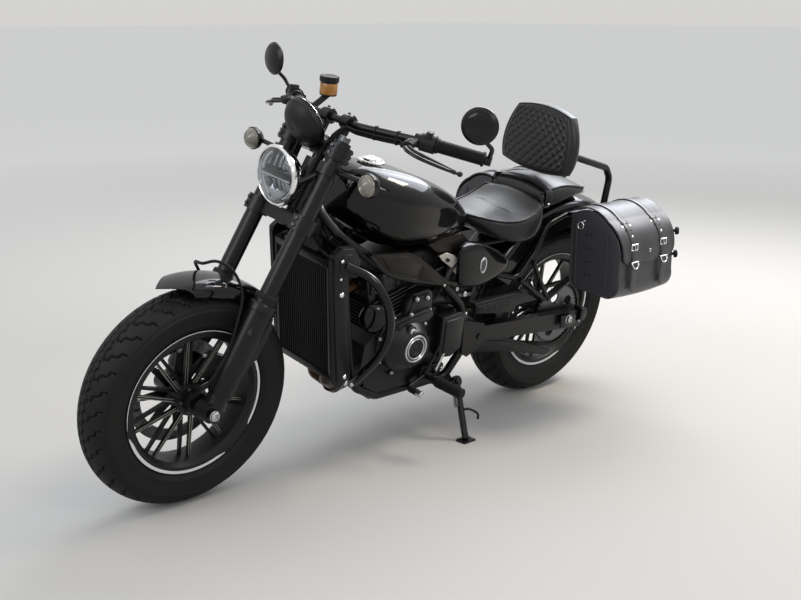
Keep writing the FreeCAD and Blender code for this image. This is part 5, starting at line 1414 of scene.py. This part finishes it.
def fork_details():
    """Leg covers with their collars, wings, axle nuts, drain screws and tube caps."""
    for label, side in SIDES:
        cover, rings = bmesh.new(), []
        for height, radius in ((52, 33), (58, 36), (150, 37), (290, 38.5), (304, 38.5), (306, 40.5),
                               (326, 40.5), (331, 38), (331, 33)):
            ring_points = []
            for number in range(40):
                turn = math.tau * number / 40
                y = max(radius * math.sin(turn), -27.5)
                ring_points.append(Vector((LEG_X + radius * math.cos(turn), side * (LEG_Y + y),
                                           height)))
            rings.append(ring_points)
        loft(cover, rings)
        piece(f"leg_cover_{label}", cover, "satin_black", "steering", STEERING)
        wing = bmesh.new()
        prism(wing, [(4, 322), (-20, 300), (-34, 250), (-30, 190), (-12, 120), (2, 96)],
              side * 84, side * 112, 3)
        for number in range(3):
            prism(wing, [(-8, 288 - 44 * number), (-29, 278 - 44 * number),
                         (-27, 262 - 44 * number), (-8, 262 - 44 * number)], side * 112,
                  side * 114.5, 1.0)
        piece(f"leg_wing_{label}", wing, "cast_black", "steering", STEERING)
        nut = bmesh.new()
        seat_place = facing((FORK_OFFSET, side * 138.2, 0), (0, side, 0))
        lathe(nut, [(15.5, 0), (15.5, 3), (14, 4)], seat_place, steps=32)
        lathe(nut, [(13, 2), (13, 8), (11.5, 9.5), (8.5, 9.5), (7.5, 3), (0, 3)], seat_place,
              steps=24)
        piece(f"front_axle_nut_{label}", nut, "bright_alloy", "steering", STEERING, smooth=20)
        reflector = bmesh.new()
        prism(reflector, [(60, 262), (50, 236), (66, 240)], side * 132, side * 136, 1)
        piece(f"leg_reflector_{label}", reflector, "dark_reflector", "steering", STEERING)
    spots = []
    for side in (1, -1):
        spots += [(Vector((LEG_X - 24, side * (LEG_Y + 12), -14)), Vector((-1, 0, 0)), 11),
                  (Vector((LEG_X - 26, side * (LEG_Y + 12), 18)), Vector((-1, 0, 0)), 11),
                  (Vector((LEG_X, side * LEG_Y, 818)), AXIS_Z, 34)]
        for low in (558, 578, 776, 797):
            spots.append((Vector((LEG_X + 36, side * (LEG_Y + 6), low)), Vector((1, side * 0.2, 0)),
                          10))
    fastened("fork_screws", socket_head(), spots, "brushed_steel", "steering", STEERING)
    stem = bmesh.new()
    lathe(stem, [(24, 808), (24, 812), (20, 813)], steps=32)
    lathe(stem, [(17, 812), (17, 824), (14, 827), (0, 827)], steps=6)
    piece("stem_nut", stem, "bright_alloy", "steering", STEERING, smooth=20)
    seals = bmesh.new()
    for side in (1, -1):
        lathe(seals, [(26, 356), (31, 354), (33.6, 350), (33.6, 340), (30, 336)],
              at(LEG_X, side * LEG_Y, 0), steps=36)
    piece("fork_dust_seals", seals, "rubber", "steering", STEERING)


# Engine and radiator.
def radiator_details():
    """Core fins between upright tubes, side frames with screws, and corner boxes."""
    foot, top = Vector((1062, 0, 318)), Vector((1112, 0, 706))
    lean = (top - foot).normalized()
    normal = Vector((lean.z, 0, -lean.x))
    upright = Matrix((normal, AXIS_Y, lean)).transposed().to_4x4()
    place = Matrix.Translation(foot + normal * 0.2) @ upright
    tubes = bmesh.new()
    for number in range(25):
        block(tubes, (3.2, 2.4, 346), place @ at(0.4, -114 + 9.5 * number, 196), 0.7, 1)
    for low in (8, 372):
        block(tubes, (9, 250, 22), place @ at(1.5, 0, low + 6), 3)
    for side in (1, -1):
        block(tubes, (7, 14, 388), place @ at(1, side * 124, 195), 2.5)
    piece("radiator_frame", tubes, "satin_black", "frame")
    fin, rows = bmesh.new(), 90
    for number in range(24):
        for half in (0, 1):
            y = -114 + 9.5 * number + 2.4 + 3.5 * half
            low, high = (-0.9, 0.9) if half else (0.9, -0.9)
            fin.faces.new([fin.verts.new(place @ Vector((depth, y + step, 26 + rise)))
                           for depth, step, rise in ((0.2, 0, low), (2.6, 0, low), (2.6, 3.2, high),
                                                     (0.2, 3.2, high))])
    repeated("radiator_fins", fin, rows, "brushed_steel", "frame", step=lean * 3.8)
    for label, side in SIDES:
        box = bmesh.new()
        prism(box, [(1121, 727), (1092, 747), (1048, 743), (1020, 702), (1026, 652), (1110, 666)],
              side * 133, side * 156, 7)
        prism(box, [(1104, 716), (1086, 730), (1056, 728), (1036, 700), (1042, 668), (1096, 678)],
              side * 150, side * 160, 4)
        prism(box, [(1118, 700), (1066, 690), (1020, 345), (1044, 318), (1062, 326)],
              side * 140, side * 152, 4)
        piece(f"radiator_corner_{label}", box, "moulded_black", "frame")
    bolts = [(1078, 152.5, 606, 17), (1036, 152.5, 340, 15), (1094, 160.5, 712, 11),
             (1050, 160.5, 686, 11), (1086, 152.5, 655, 10)]
    fastened_pairs("radiator_bolts", domed_head(), bolts, "chrome", "frame")


def engine_details():
    """Covers, painted highlights on the fin edges, plugs, screws, hoses and the head's dress-up."""
    face = facing((783, 182.4, 388), AXIS_Y)
    for name, outer, inner, look in (("outer", 45, 38.5, "bright_alloy"),
                                     ("middle", 38, 35, "satin_alloy"),
                                     ("inner", 34.5, 30, "bright_alloy")):
        turned(f"alternator_ring_{name}", [(outer, 0), (outer, 2.2), (outer - 1.5, 3.6),
                                           (inner + 1.5, 3.6), (inner, 2.2), (inner, 0)],
               look, "frame", face, steps=72)
    centre = bmesh.new()
    lathe(centre, [(29.5, 0), (28, 2.5), (17, 3), (15, 1), (7, 1), (6, 2.4), (0, 2.4)],
          face, steps=48)
    lathe(centre, [(56, -2), (56, 0.6), (54, 2.4), (48, 2.4), (46, 0)], face, steps=64)
    for number in range(8):
        block(centre, (9, 2.6, 3), face @ at(turn=45 * number, about="Z") @ at(22, 0, 3), 0.8)
    piece("alternator_centre", centre, "cast_black", "frame")
    skirt = bmesh.new()
    lathe(skirt, [(99, -4), (99, 5), (96, 8), (90, 8)], facing((787, 112.4, 388), AXIS_Y), steps=64)
    lathe(skirt, [(111, -4), (111, 5), (108, 8), (102, 8)], facing((735, -112.4, 372), -AXIS_Y),
          steps=64)
    piece("cover_flanges", skirt, "engine_charcoal", "frame")
    spots, bosses = [], bmesh.new()
    for number in range(8):
        turn = math.tau * (number + 0.4) / 8
        spot = Vector((787 + 101 * math.cos(turn), 126, 388 + 101 * math.sin(turn)))
        lathe(bosses, [(9.5, -22), (9, -1), (8, 0), (0, 0)], facing(spot, AXIS_Y), steps=20)
        spots.append((spot, AXIS_Y, 11))
    for x, y, z in ((761, 141, 532), (716, 141, 530), (700, 141, 486), (778, 141, 484)):
        lathe(bosses, [(11, -18), (10, -1), (9, 0), (0, 0)], facing((x, y, z), AXIS_Y), steps=20)
        spots.append((Vector((x, y, z)), AXIS_Y, 13))
    prism(bosses, [(856, 476), (700, 494), (684, 470), (704, 452), (850, 440)], 116, 150, 7)
    prism(bosses, [(846, 466), (706, 482), (700, 470), (840, 450)], 146, 155, 3)
    piece("cover_bosses", bosses, "engine_charcoal", "frame", smooth=30)
    for number in range(10):
        turn = math.tau * number / 10
        spots.append((Vector((735 + 106 * math.cos(turn), -120, 372 + 106 * math.sin(turn))),
                      -AXIS_Y, 10))
    for x, z in ((560, 340), (562, 446), (632, 442), (632, 330), (596, 322)):
        spots.append((Vector((x, 146, z)), AXIS_Y, 10))
    fastened("cover_screws", hex_head(), spots, "bright_alloy", "frame")
    turned("timing_plug", [(11, 0), (11, 4), (9, 6), (6, 6), (5, 3.5), (0, 3.5)], "bright_alloy",
           "frame", facing((800, 176, 446), AXIS_Y), steps=32)
    boss = bmesh.new()
    lathe(boss, [(20, -40), (18, -1), (16.5, 0.6), (0, 0.6)], facing((800, 176, 446), AXIS_Y),
          steps=32)
    prism(boss, [(842, 470), (716, 486), (708, 466), (836, 440)], 150, 158, 3)
    piece("timing_boss", boss, "engine_charcoal", "frame")
    plate = bmesh.new()
    prism(plate, [(786, 520), (766, 548), (704, 556), (684, 540), (676, 470), (800, 462)], 100, 132,
          8)
    prism(plate, [(772, 520), (756, 538), (706, 544), (696, 486), (784, 480)], 128, 138, 5)
    piece("cam_drive_cover", plate, "engine_charcoal", "frame")
    side_box = bmesh.new()
    prism(side_box, [(648, 452), (560, 458), (548, 444), (548, 332), (592, 308), (648, 316)], 140,
          156, 7)
    prism(side_box, [(636, 440), (566, 444), (562, 430), (562, 344), (596, 324), (636, 330)], 152,
          162, 5)
    lathe(side_box, [(34, 0), (33, 6), (26, 9), (0, 9)], facing((662, 114, 352), AXIS_Y), steps=40)
    piece("sprocket_cover_face", side_box, "engine_charcoal", "frame")
    head = bmesh.new()
    for side in (1, -1):
        prism(head, [(-84, 120), (84, 120), (76, 168), (40, 182), (-40, 182), (-76, 168)],
              side * 88, side * 98, 6, DECK)
    piece("head_covers", head, "engine_charcoal", "frame")
    # Pale strips along the head's fin edges: painted highlights.
    edge = bmesh.new()
    for height in range(14, 105, 13):
        for size, x, y in (((200, 3, 3.4), 0, 96), ((3, 188, 3.4), 102, 0),
                           ((200, 3, 3.4), 0, -96)):
            block(edge, size, DECK @ at(x, y, height), 0.6, 1)
    piece("fin_edges", edge, "satin_alloy", "frame")
    tube = bmesh.new()
    route = [(1074, 156, 694), (1022, 215, 672), (986, 260, 592), (982, 268, 500), (982, 226, 412),
             (984, 150, 318), (980, 128, 300)]
    pipe(tube, eased(route, 110, 9), 13.4, sides=24)
    two_sides(tube)
    piece("engine_guard_tubes", tube, "gloss_black", "frame", instead_of=("engine_guards",),
          smooth=60, slot="gloss_black_paint")
    bolts = [(1070, 166, 690, 17), (992, 140, 300, 17), (1014, 136, 306, 17)]
    fastened_pairs("guard_bolts", domed_head(), bolts, "bright_alloy", "frame")
    bolts = [(x, 98.5, z, 11) for x, z in ((-66, 132), (66, 132), (-30, 172), (30, 172))]
    fastened_pairs("head_bolts", socket_head(), bolts, "brushed_steel", "frame", place=DECK)
    horn = bmesh.new()
    lathe(horn, [(0, -10), (26, -10), (40, -4), (44, 4), (43, 10), (36, 16), (24, 20), (0, 22)],
          facing((900, 104, 486), (0.55, 0.8, 0.1)), steps=48)
    pipe(horn, [(900, 92, 486), (880, 70, 470), (860, 60, 452)], 7, sides=10)
    piece("horn", horn, "gloss_black", "frame")
    hoses = bmesh.new()
    pipe(hoses, flowing([(1052, 96, 668), (1010, 100, 662), (960, 104, 640), (900, 104, 604),
                         (872, 98, 556), (858, 94, 512)], 8), 15, sides=16)
    pipe(hoses, flowing([(1046, -96, 350), (1000, -104, 352), (950, -104, 380), (918, -98, 414)],
                        8), 15, sides=16)
    piece("coolant_hoses", hoses, "rubber", "frame", smooth=80)
    bands = bmesh.new()
    for spot, ahead in (((1040, 97, 667), (-1, 0.1, -0.1)), ((862, 95, 524), (-0.3, 0, -1)),
                        ((1036, -98, 350), (-1, -0.1, 0)), ((926, -99, 404), (-0.7, 0, 0.7))):
        lathe(bands, [(15.6, -5), (16.6, -5), (16.6, 5), (15.6, 5)], facing(spot, ahead), steps=28)
    piece("hose_bands", bands, "brushed_steel", "frame")
    lead = bmesh.new()
    for points in (((800, 96, 560), (812, 118, 596), (842, 112, 622), (880, 96, 640)),
                   ((770, 96, 556), (752, 126, 590), (700, 124, 600), (640, 116, 610)),
                   ((690, 110, 500), (664, 128, 520), (640, 126, 560), (620, 120, 600))):
        pipe(lead, flowing(points, 8), 4, sides=10)
    piece("engine_leads", lead, "rubber", "frame", smooth=80)
    nuts = [(DECK @ Vector((94, y, z)), DECK.to_3x3() @ AXIS_X, 11)
            for y, z in ((62, 160), (14, 132), (-14, 160), (-62, 132))]
    fastened("header_nuts", hex_head(), nuts, "brushed_steel", "frame")


# Tank, covers and frame.
def shrunk(outline, share):
    """An outline drawn in towards its middle."""
    middle = [sum(spot[axis] for spot in outline) / len(outline) for axis in (0, 1)]
    return [(middle[0] + (x - middle[0]) * share, middle[1] + (z - middle[1]) * share)
            for x, z in outline]


def smoothed(outline, steps=5):
    """A closed outline made smooth through its points."""
    count = len(outline)
    return [tuple(curve_point(*(Vector(outline[(number + step) % count]) for step in (-1, 0, 1, 2)),
                              part / steps))
            for number in range(count) for part in range(steps)]


def domed(shape, outline, layers):
    """A pressed or cast form: one outline at several shares of its size and places on Y."""
    loft(shape, [[Vector((x, y, z)) for x, z in shrunk(outline, share)] for share, y in layers])


def tank_and_covers():
    """The filler cap, trims with their creases, domed side covers and the pivot plate, pale with a
    painted reflection.
    """
    cap = bmesh.new()
    lathe(cap, [(40, 10), (42, 12), (42, 16.5), (39.5, 18.5), (35, 18.5), (34, 17), (32, 17),
                (31, 22.5), (28.5, 25), (13, 26.5), (11, 25.5), (0, 25.5)], FILLER, steps=64)
    block(cap, (22, 5, 5), FILLER @ at(2, 0, 27), 1.5)
    piece("filler_cap", cap, "chrome", "frame", instead_of=("fuel_cap",), smooth=25, slot="chrome")
    trim, rim = bmesh.new(), bmesh.new()
    panel = [(976, 716), (958, 709), (820, 694), (778, 672), (733, 642), (640, 574), (590, 553),
             (600, 548), (634, 558), (794, 600), (908, 636)]
    domed(trim, panel, [(1.0, 128), (1.0, 141), (0.97, 145), (0.88, 147.5), (0.5, 149)])
    prism(trim, [(936, 698), (826, 683), (772, 652), (788, 616), (898, 648)], 145, 152.5, 3.5)
    prism(trim, [(758, 643), (660, 572), (700, 577), (772, 606)], 145, 151.5, 3)
    lower = flowing([(972, 138, 706), (930, 140, 664), (880, 142, 630), (794, 143, 601),
                     (700, 141, 577), (634, 136, 560), (588, 130, 550)], 6)
    pipe(rim, lower, 8, sides=12)
    for shape in (trim, rim):
        two_sides(shape)
    piece("trim_panels", trim, "dark_bronze", "frame", instead_of=("tank_side_trims",), smooth=28,
          slot="satin_black_steel")
    piece("trim_rails", rim, "satin_black", "frame", smooth=60)
    cover, oval, dark = bmesh.new(), bmesh.new(), bmesh.new()
    outline = smoothed([(588, 660), (556, 674), (516, 676), (474, 665), (412, 634), (352, 596),
                        (356, 562), (400, 542), (477, 524), (546, 532), (576, 552), (584, 610)])
    domed(cover, outline, [(1.0, 112), (1.0, 126), (0.985, 132), (0.94, 136.5), (0.82, 140.5),
                           (0.6, 143), (0.3, 144)])
    ridge = [(590, 136, 664), (540, 141, 676), (480, 140, 664), (420, 134, 636), (366, 128, 602)]
    pipe(cover, flowing(ridge, 6), 4.5, sides=10)
    egg = [(486 + 15 * math.cos(turn), 601 + 28 * math.sin(turn))
           for turn in [math.tau * number / 40 for number in range(40)]]
    domed(oval, egg, [(1.0, 138), (1.0, 146.5), (0.93, 148), (0.84, 146.8)])
    domed(dark, shrunk(egg, 0.82), [(1.0, 140), (1.0, 146.4), (0.7, 147.4)])
    for shape in (cover, oval, dark):
        two_sides(shape)
    piece("side_cover_panels", cover, "gloss_black", "frame", instead_of=("side_covers",),
          smooth=50, slot="gloss_black_paint")
    piece("side_cover_ovals", oval, "bright_alloy", "frame", smooth=40)
    piece("side_cover_oval_fields", dark, "satin_alloy", "frame", smooth=40)
    # The pivot plates are black paint in truth: their pale finish is a painted reflection of
    # sunlight.
    plate, panel = bmesh.new(), bmesh.new()
    prism(plate, [(668, 650), (631, 657), (594, 641), (567, 610), (559, 580), (576, 570),
                  (611, 606), (652, 634)], 112, 122, 2.5)
    domed(panel, [(712, 690), (640, 705), (563, 709), (528, 682), (583, 645), (658, 650)],
          [(1.0, 62), (1.0, 100), (0.93, 106), (0.7, 109)])
    for shape in (plate, panel):
        two_sides(shape)
    piece("pivot_plates", plate, "pale_alloy_and_painted_highlight", "frame")
    piece("under_seat_panels", panel, "dark_bronze", "frame", smooth=28)
    bolts = [(631, 121.5, 634, 13), (579, 121.5, 593, 13)]
    fastened_pairs("pivot_plate_screws", socket_head(), bolts, "satin_black", "frame")
    bolts = [(539, 126, 507, 17), (575, 124, 530, 13), (655, 144, 562, 9)]
    fastened_pairs("frame_bolts", socket_head(), bolts, "bright_alloy", "frame")


def behind_the_frame():
    """The airbox, battery box, throttle body and wiring that fill the frame."""
    box = bmesh.new()
    block(box, (170, 150, 118), at(676, 0, 606, 6), 14, 3)
    for number in range(6):
        block(box, (6, 156, 92), at(606 + 26 * number, 0, 604 - 2.5 * number, 6), 2.5)
    block(box, (110, 168, 130), at(530, 0, 596, -4), 12, 3)
    block(box, (190, 150, 60), at(716, 0, 545, 6), 10, 3)
    block(box, (110, 140, 110), at(566, 0, 500, 0), 12, 3)
    block(box, (60, 120, 70), at(1088, 0, 786, -24), 10, 3)
    block(box, (90, 96, 90), at(1050, 0, 700, -20), 12, 3)
    piece("airbox", box, "moulded_black", "frame")
    throttle = bmesh.new()
    lathe(throttle, [(0, -6), (24, -6), (27, 0), (27, 46), (31, 50), (31, 60), (24, 64), (0, 64)],
          facing((742, 34, 590), (-0.35, 0.1, 0.9)), steps=32)
    lathe(throttle, [(0, -50), (19, -50), (21, -46), (21, 46), (19, 50), (0, 50)],
          at(640, 96, 500, 82), steps=28)
    piece("throttle_body", throttle, "engine_charcoal", "frame")
    wires = bmesh.new()
    for points in (((1086, 58, 796), (1084, 82, 762), (1046, 96, 716), (990, 92, 692)),
                   ((1098, 36, 742), (1094, 70, 716), (1066, 88, 690), (1010, 78, 680)),
                   ((1106, 66, 728), (1104, 98, 712), (1090, 110, 700), (1066, 110, 690)),
                   ((600, 100, 660), (604, 112, 600), (630, 118, 556), (668, 112, 520)),
                   ((560, 104, 640), (572, 116, 586), (596, 122, 540), (600, 118, 490))):
        for lift in (0, 7):
            pipe(wires, flowing([Vector(spot) + Vector((lift, 0, lift)) for spot in points], 8),
                 3.6, sides=8)
    two_sides(wires)
    piece("frame_wiring", wires, "rubber", "frame", smooth=80)
    ties = bmesh.new()
    for side in (1, -1):
        for x, y, z, ahead in ((1082, 83, 760, (-0.6, 0.3, -0.8)), (1052, 97, 718, (-1, 0.1, -0.6)),
                               (604, 114, 590, (0.3, 0.2, -1))):
            lathe(ties, [(9, -2), (10, -2), (10, 2), (9, 2)], facing((x, side * y, z), ahead),
                  steps=16)
    piece("wiring_ties", ties, "satin_alloy", "frame")


# Drive side.
def drive_side():
    """Shift rod, pegs, chain and its guards, arm ends and stand fittings."""
    rod = bmesh.new()
    pipe(rod, [(583, 152, 404), (653, 154, 272)], 4.6, sides=12)
    piece("shift_rod", rod, "bright_alloy", "frame")
    ends = bmesh.new()
    for spot in ((581, 152, 408), (655, 154, 268)):
        lathe(ends, [(4, -8), (8, -7), (8.5, 0), (8, 7), (4, 8)], facing(spot, AXIS_Y), steps=18)
    prism(ends, [(588, 420), (574, 420), (566, 392), (580, 388)], 140, 149, 2)
    prism(ends, [(700, 290), (646, 292), (604, 284), (604, 262), (646, 250), (702, 244)], 128, 142,
          4)
    prism(ends, [(690, 282), (650, 284), (618, 278), (618, 268), (650, 260), (690, 256)], 140, 147,
          3)
    piece("shift_linkage", ends, "cast_black", "frame")
    fastened("linkage_screws", domed_head(), [(Vector((646, 147, 277)), AXIS_Y, 9),
                                               (Vector((616, 144, 271)), AXIS_Y, 9)],
             "bright_alloy", "frame")
    for label, side in SIDES:
        tread, direction = bmesh.new(), Vector((-15, side * 124, -4))
        line, step = [(14.5, 22), (17, 24)], 26
        while step < 118:
            line += [(17.5, step), (17.5, step + 4), (15.6, step + 5), (15.6, step + 7.4)]
            step += 8.4
        line += [(17.5, 119), (17.5, 124), (15, 126), (0, 126)]
        lathe(tread, line, facing((690, side * 176, 262), direction), steps=28)
        piece(f"rider_peg_rubber_{label}", tread, "rubber", "frame", smooth=30)
        turned(f"toe_peg_tip_{label}", [(9.4, 36), (10.6, 38), (10.6, 56), (8, 58), (5, 58),
                                        (4, 56), (0, 56)], "bright_alloy", "frame",
               facing((804, side * 196, 266), (0, side, 0)), steps=24)
        turned(f"toe_peg_rubber_{label}", [(9.2, 4), (10.8, 5), (10.8, 34), (9.2, 35)], "rubber",
               "frame", facing((804, side * 196, 266), (0, side, 0)), steps=24)
    guard = bmesh.new()
    prism(guard, [(497, 470), (380, 472), (258, 470), (181, 428), (289, 428), (300, 404),
                  (485, 432)], 118, 146, 4)
    prism(guard, [(486, 460), (340, 462), (300, 440), (340, 424), (482, 442)], 143, 150, 3)
    for number in range(5):
        block(guard, (22, 4, 5), at(456 - 30 * number, 150, 450 - 1.5 * number, 5), 1.5)
    piece("chain_guard_upper", guard, "moulded_black", "frame")
    lower = bmesh.new()
    prism(lower, [(512, 346), (307, 306), (59, 212), (30, 200), (34, 190), (66, 188), (294, 250),
                  (500, 290)], 110, 124, 3)
    prism(lower, [(496, 334), (310, 296), (190, 254), (300, 262), (490, 300)], 122, 129, 2.5)
    piece("chain_guard_lower", lower, "moulded_black", "frame")
    arm = bmesh.new()
    for side in (1, -1):
        prism(arm, [(-74, 350), (-104, 346), (-108, 318), (-96, 300), (-72, 298)], side * 112,
              side * 150, 3)
        prism(arm, [(40, 338), (-40, 334), (-46, 304), (-20, 292), (36, 296)], side * 146,
              side * 152, 2)
    piece("arm_ends", arm, "satin_black", "frame")
    nuts = bmesh.new()
    for side in (1, -1):
        place = facing((0, side * 151, REAR_AXLE_HEIGHT), (0, side, 0))
        lathe(nuts, [(16, 0), (16, 3), (14, 4)], place, steps=32)
        lathe(nuts, [(12, 3), (12, 10), (10, 12), (6, 12), (5, 8), (0, 8)], place, steps=6)
    piece("rear_axle_nuts", nuts, "bright_alloy", "frame", smooth=20)
    bolts = [(Vector((-104, side * 131, 323)), -AXIS_X, 15) for side in (1, -1)]
    bolts += [(Vector((-64, side * 150.5, 305)), Vector((0, side, 0)), 9) for side in (1, -1)]
    fastened("arm_end_bolts", hex_head(), bolts, "bright_alloy", "frame")
    link, links = bmesh.new(), []
    first, second = Vector((0, 0, REAR_AXLE_HEIGHT)), Vector((575, 0, 385))
    big, small = CHAIN_RADII
    span = second - first
    lean, tip_angle = math.atan2(span.z, span.x), math.acos((big - small) / span.length)
    for centre, radius, start, sweep in ((second, small, lean + tip_angle, -2 * tip_angle),
                                         (first, big, lean - tip_angle,
                                          -(math.tau - 2 * tip_angle))):
        for number in range(25):
            turn = start + sweep * number / 24
            links.append(centre + Vector((radius * math.cos(turn), 0, radius * math.sin(turn))))
    links.append(links[0])
    for side in (1, -1):
        prism(link, [(8, 5.6), (4, 6.8), (0, 4.4), (-4, 6.8), (-8, 5.6), (-9.8, 0), (-8, -5.6),
                     (-4, -6.8), (0, -4.4), (4, -6.8), (8, -5.6), (9.8, 0)], side * 5.4, side * 7,
              0)
    for x in (-4.8, 4.8):
        lathe(link, [(0, -7.4), (2.6, -7.4), (4.2, -5.2), (4.2, 5.2), (2.6, 7.4), (0, 7.4)],
              at(x) @ FROM_AXLE, steps=8)
    links = [Vector((spot.x, 90, spot.z)) for spot in links]
    along("chain_links", link, links, 19.2, "chain_steel", "frame", instead_of=("chain",),
          smooth=30)
    stand = bmesh.new()
    pivot, foot = Vector((540, 150, 208)), Vector((568, 250.6, 41.5))
    line = (foot - pivot).normalized()
    side_way = line.cross(Vector((0, 0.55, 0.8))).normalized()
    turns = [pivot + line * (22 + 62 * n / 96) + side_way * 16
             + 7 * (side_way * math.cos(math.tau * n / 8)
                    + side_way.cross(line) * math.sin(math.tau * n / 8)) for n in range(97)]
    pipe(stand, turns, 1.7, sides=6)
    piece("stand_spring", stand, "brushed_steel", "side_stand", smooth=60)
    tang = bmesh.new()
    bends = ((96, (0, 0, 0)), (92, (-14, 22, 6)), (104, (-40, 34, 2)), (128, (-44, 26, 4)))
    pipe(tang, flowing([pivot + line * down + Vector(step) for down, step in bends], 6), 4,
         sides=10)
    block(tang, (52, 34, 6), facing(foot - line * 3, (0, 0.12, 1)), 2.5)
    piece("stand_tang", tang, "satin_black", "side_stand", smooth=50)


# Stern and exhaust.
def stern():
    """Tail lamp, bare plate with its frame and screws, muffler bands, end and shield."""
    turn = math.radians(135.5)
    out = Vector((math.cos(turn), 0, math.sin(turn)))
    seat_spot = Vector((0, 0, REAR_AXLE_HEIGHT)) + out * FENDER_CROWN
    shell, lens = bmesh.new(), bmesh.new()
    lathe(shell, [(30, 2), (36, 2), (38, 6), (37, 14), (34.5, 17), (32, 17), (31, 12)],
          facing(seat_spot, out), steps=48)
    piece("tail_lamp_shell", shell, "chrome", "frame")
    radii = [33 - number * 1.5 for number in range(22)]
    lines = [(radius, 17 + 9 * math.sqrt(max(0, 1 - (radius / 34) ** 2)) + 0.7 * (number % 2))
             for number, radius in enumerate(radii)]
    lathe(lens, [(33, 10)] + lines + [(0, 26.5)], facing(seat_spot, out), steps=48)
    piece("tail_lamp_lens", lens, "red_lens", "frame", instead_of=("tail_lamp",), slot="red_lens")
    board = bmesh.new()
    look = Vector((-0.94, 0, 0.34))
    place = facing((-388.4, 0, 447.6), look)
    block(board, (160, 110, 2.4), place @ at(turn=90, about="Z"), 1.0)
    piece("blank_plate", board, "pale_alloy_and_painted_highlight", "frame")
    frame_shape = bmesh.new()
    for size, x, y in (((116, 5, 6), 0, 82), ((5, 168, 6), 57, 0)):
        for sign in (1, -1):
            block(frame_shape, size, place @ at(sign * x, sign * y, 0), 1.5)
    piece("plate_frame", frame_shape, "moulded_black", "frame")
    screws = [(place @ Vector((36, y, 1.4)), look, 9) for y in (-52, 52)]
    fastened("plate_screws", domed_head(), screws, "bright_alloy", "frame")
    front, rear = Vector((564, -196.6, 247)), Vector((80, -226, 330))
    can, length = facing(front, rear - front), (rear - front).length
    bands = bmesh.new()
    for low in (66, length - 60):
        lathe(bands, [(49.6, low), (51.4, low + 1), (51.4, low + 15), (49.6, low + 16)], can,
              steps=48)
    piece("muffler_bands", bands, "brushed_steel", "frame")
    turned("muffler_tip", [(50.5, length - 34), (51.6, length - 30), (51.6, length - 6),
                           (47, length + 2), (40, length + 4), (33, length + 3), (31, length - 2),
                           (30.5, length - 26)], "satin_alloy", "frame", can, steps=48)
    shield = bmesh.new()
    rings = []
    for step in range(25):
        low, radius = 88 + (length - 176) * step / 24, 53.5 + 1.2 * math.sin(math.pi * step / 24)
        turns = [math.radians(-142 + 104 * number / 18) for number in range(19)]
        rings.append([can @ Vector((radius * math.cos(turn), radius * math.sin(turn), low))
                      for turn in turns])
    hide_sheet(shield, rings, 1.6)
    piece("muffler_shield", shield, "satin_black", "frame", smooth=50)


camera_and_light()
for part in frame["record"]["subparts"]:
    node = nodes[part["node"]]
    node.data.materials.clear()
    node.data.materials.append(finish(SLOT_FINISH[part["material_slot"]]))
wheels()
soft_goods()
headlamp()
instruments()
bar_details()
front_fender()
fork_details()
radiator_details()
engine_details()
tank_and_covers()
behind_the_frame()
drive_side()
stern()
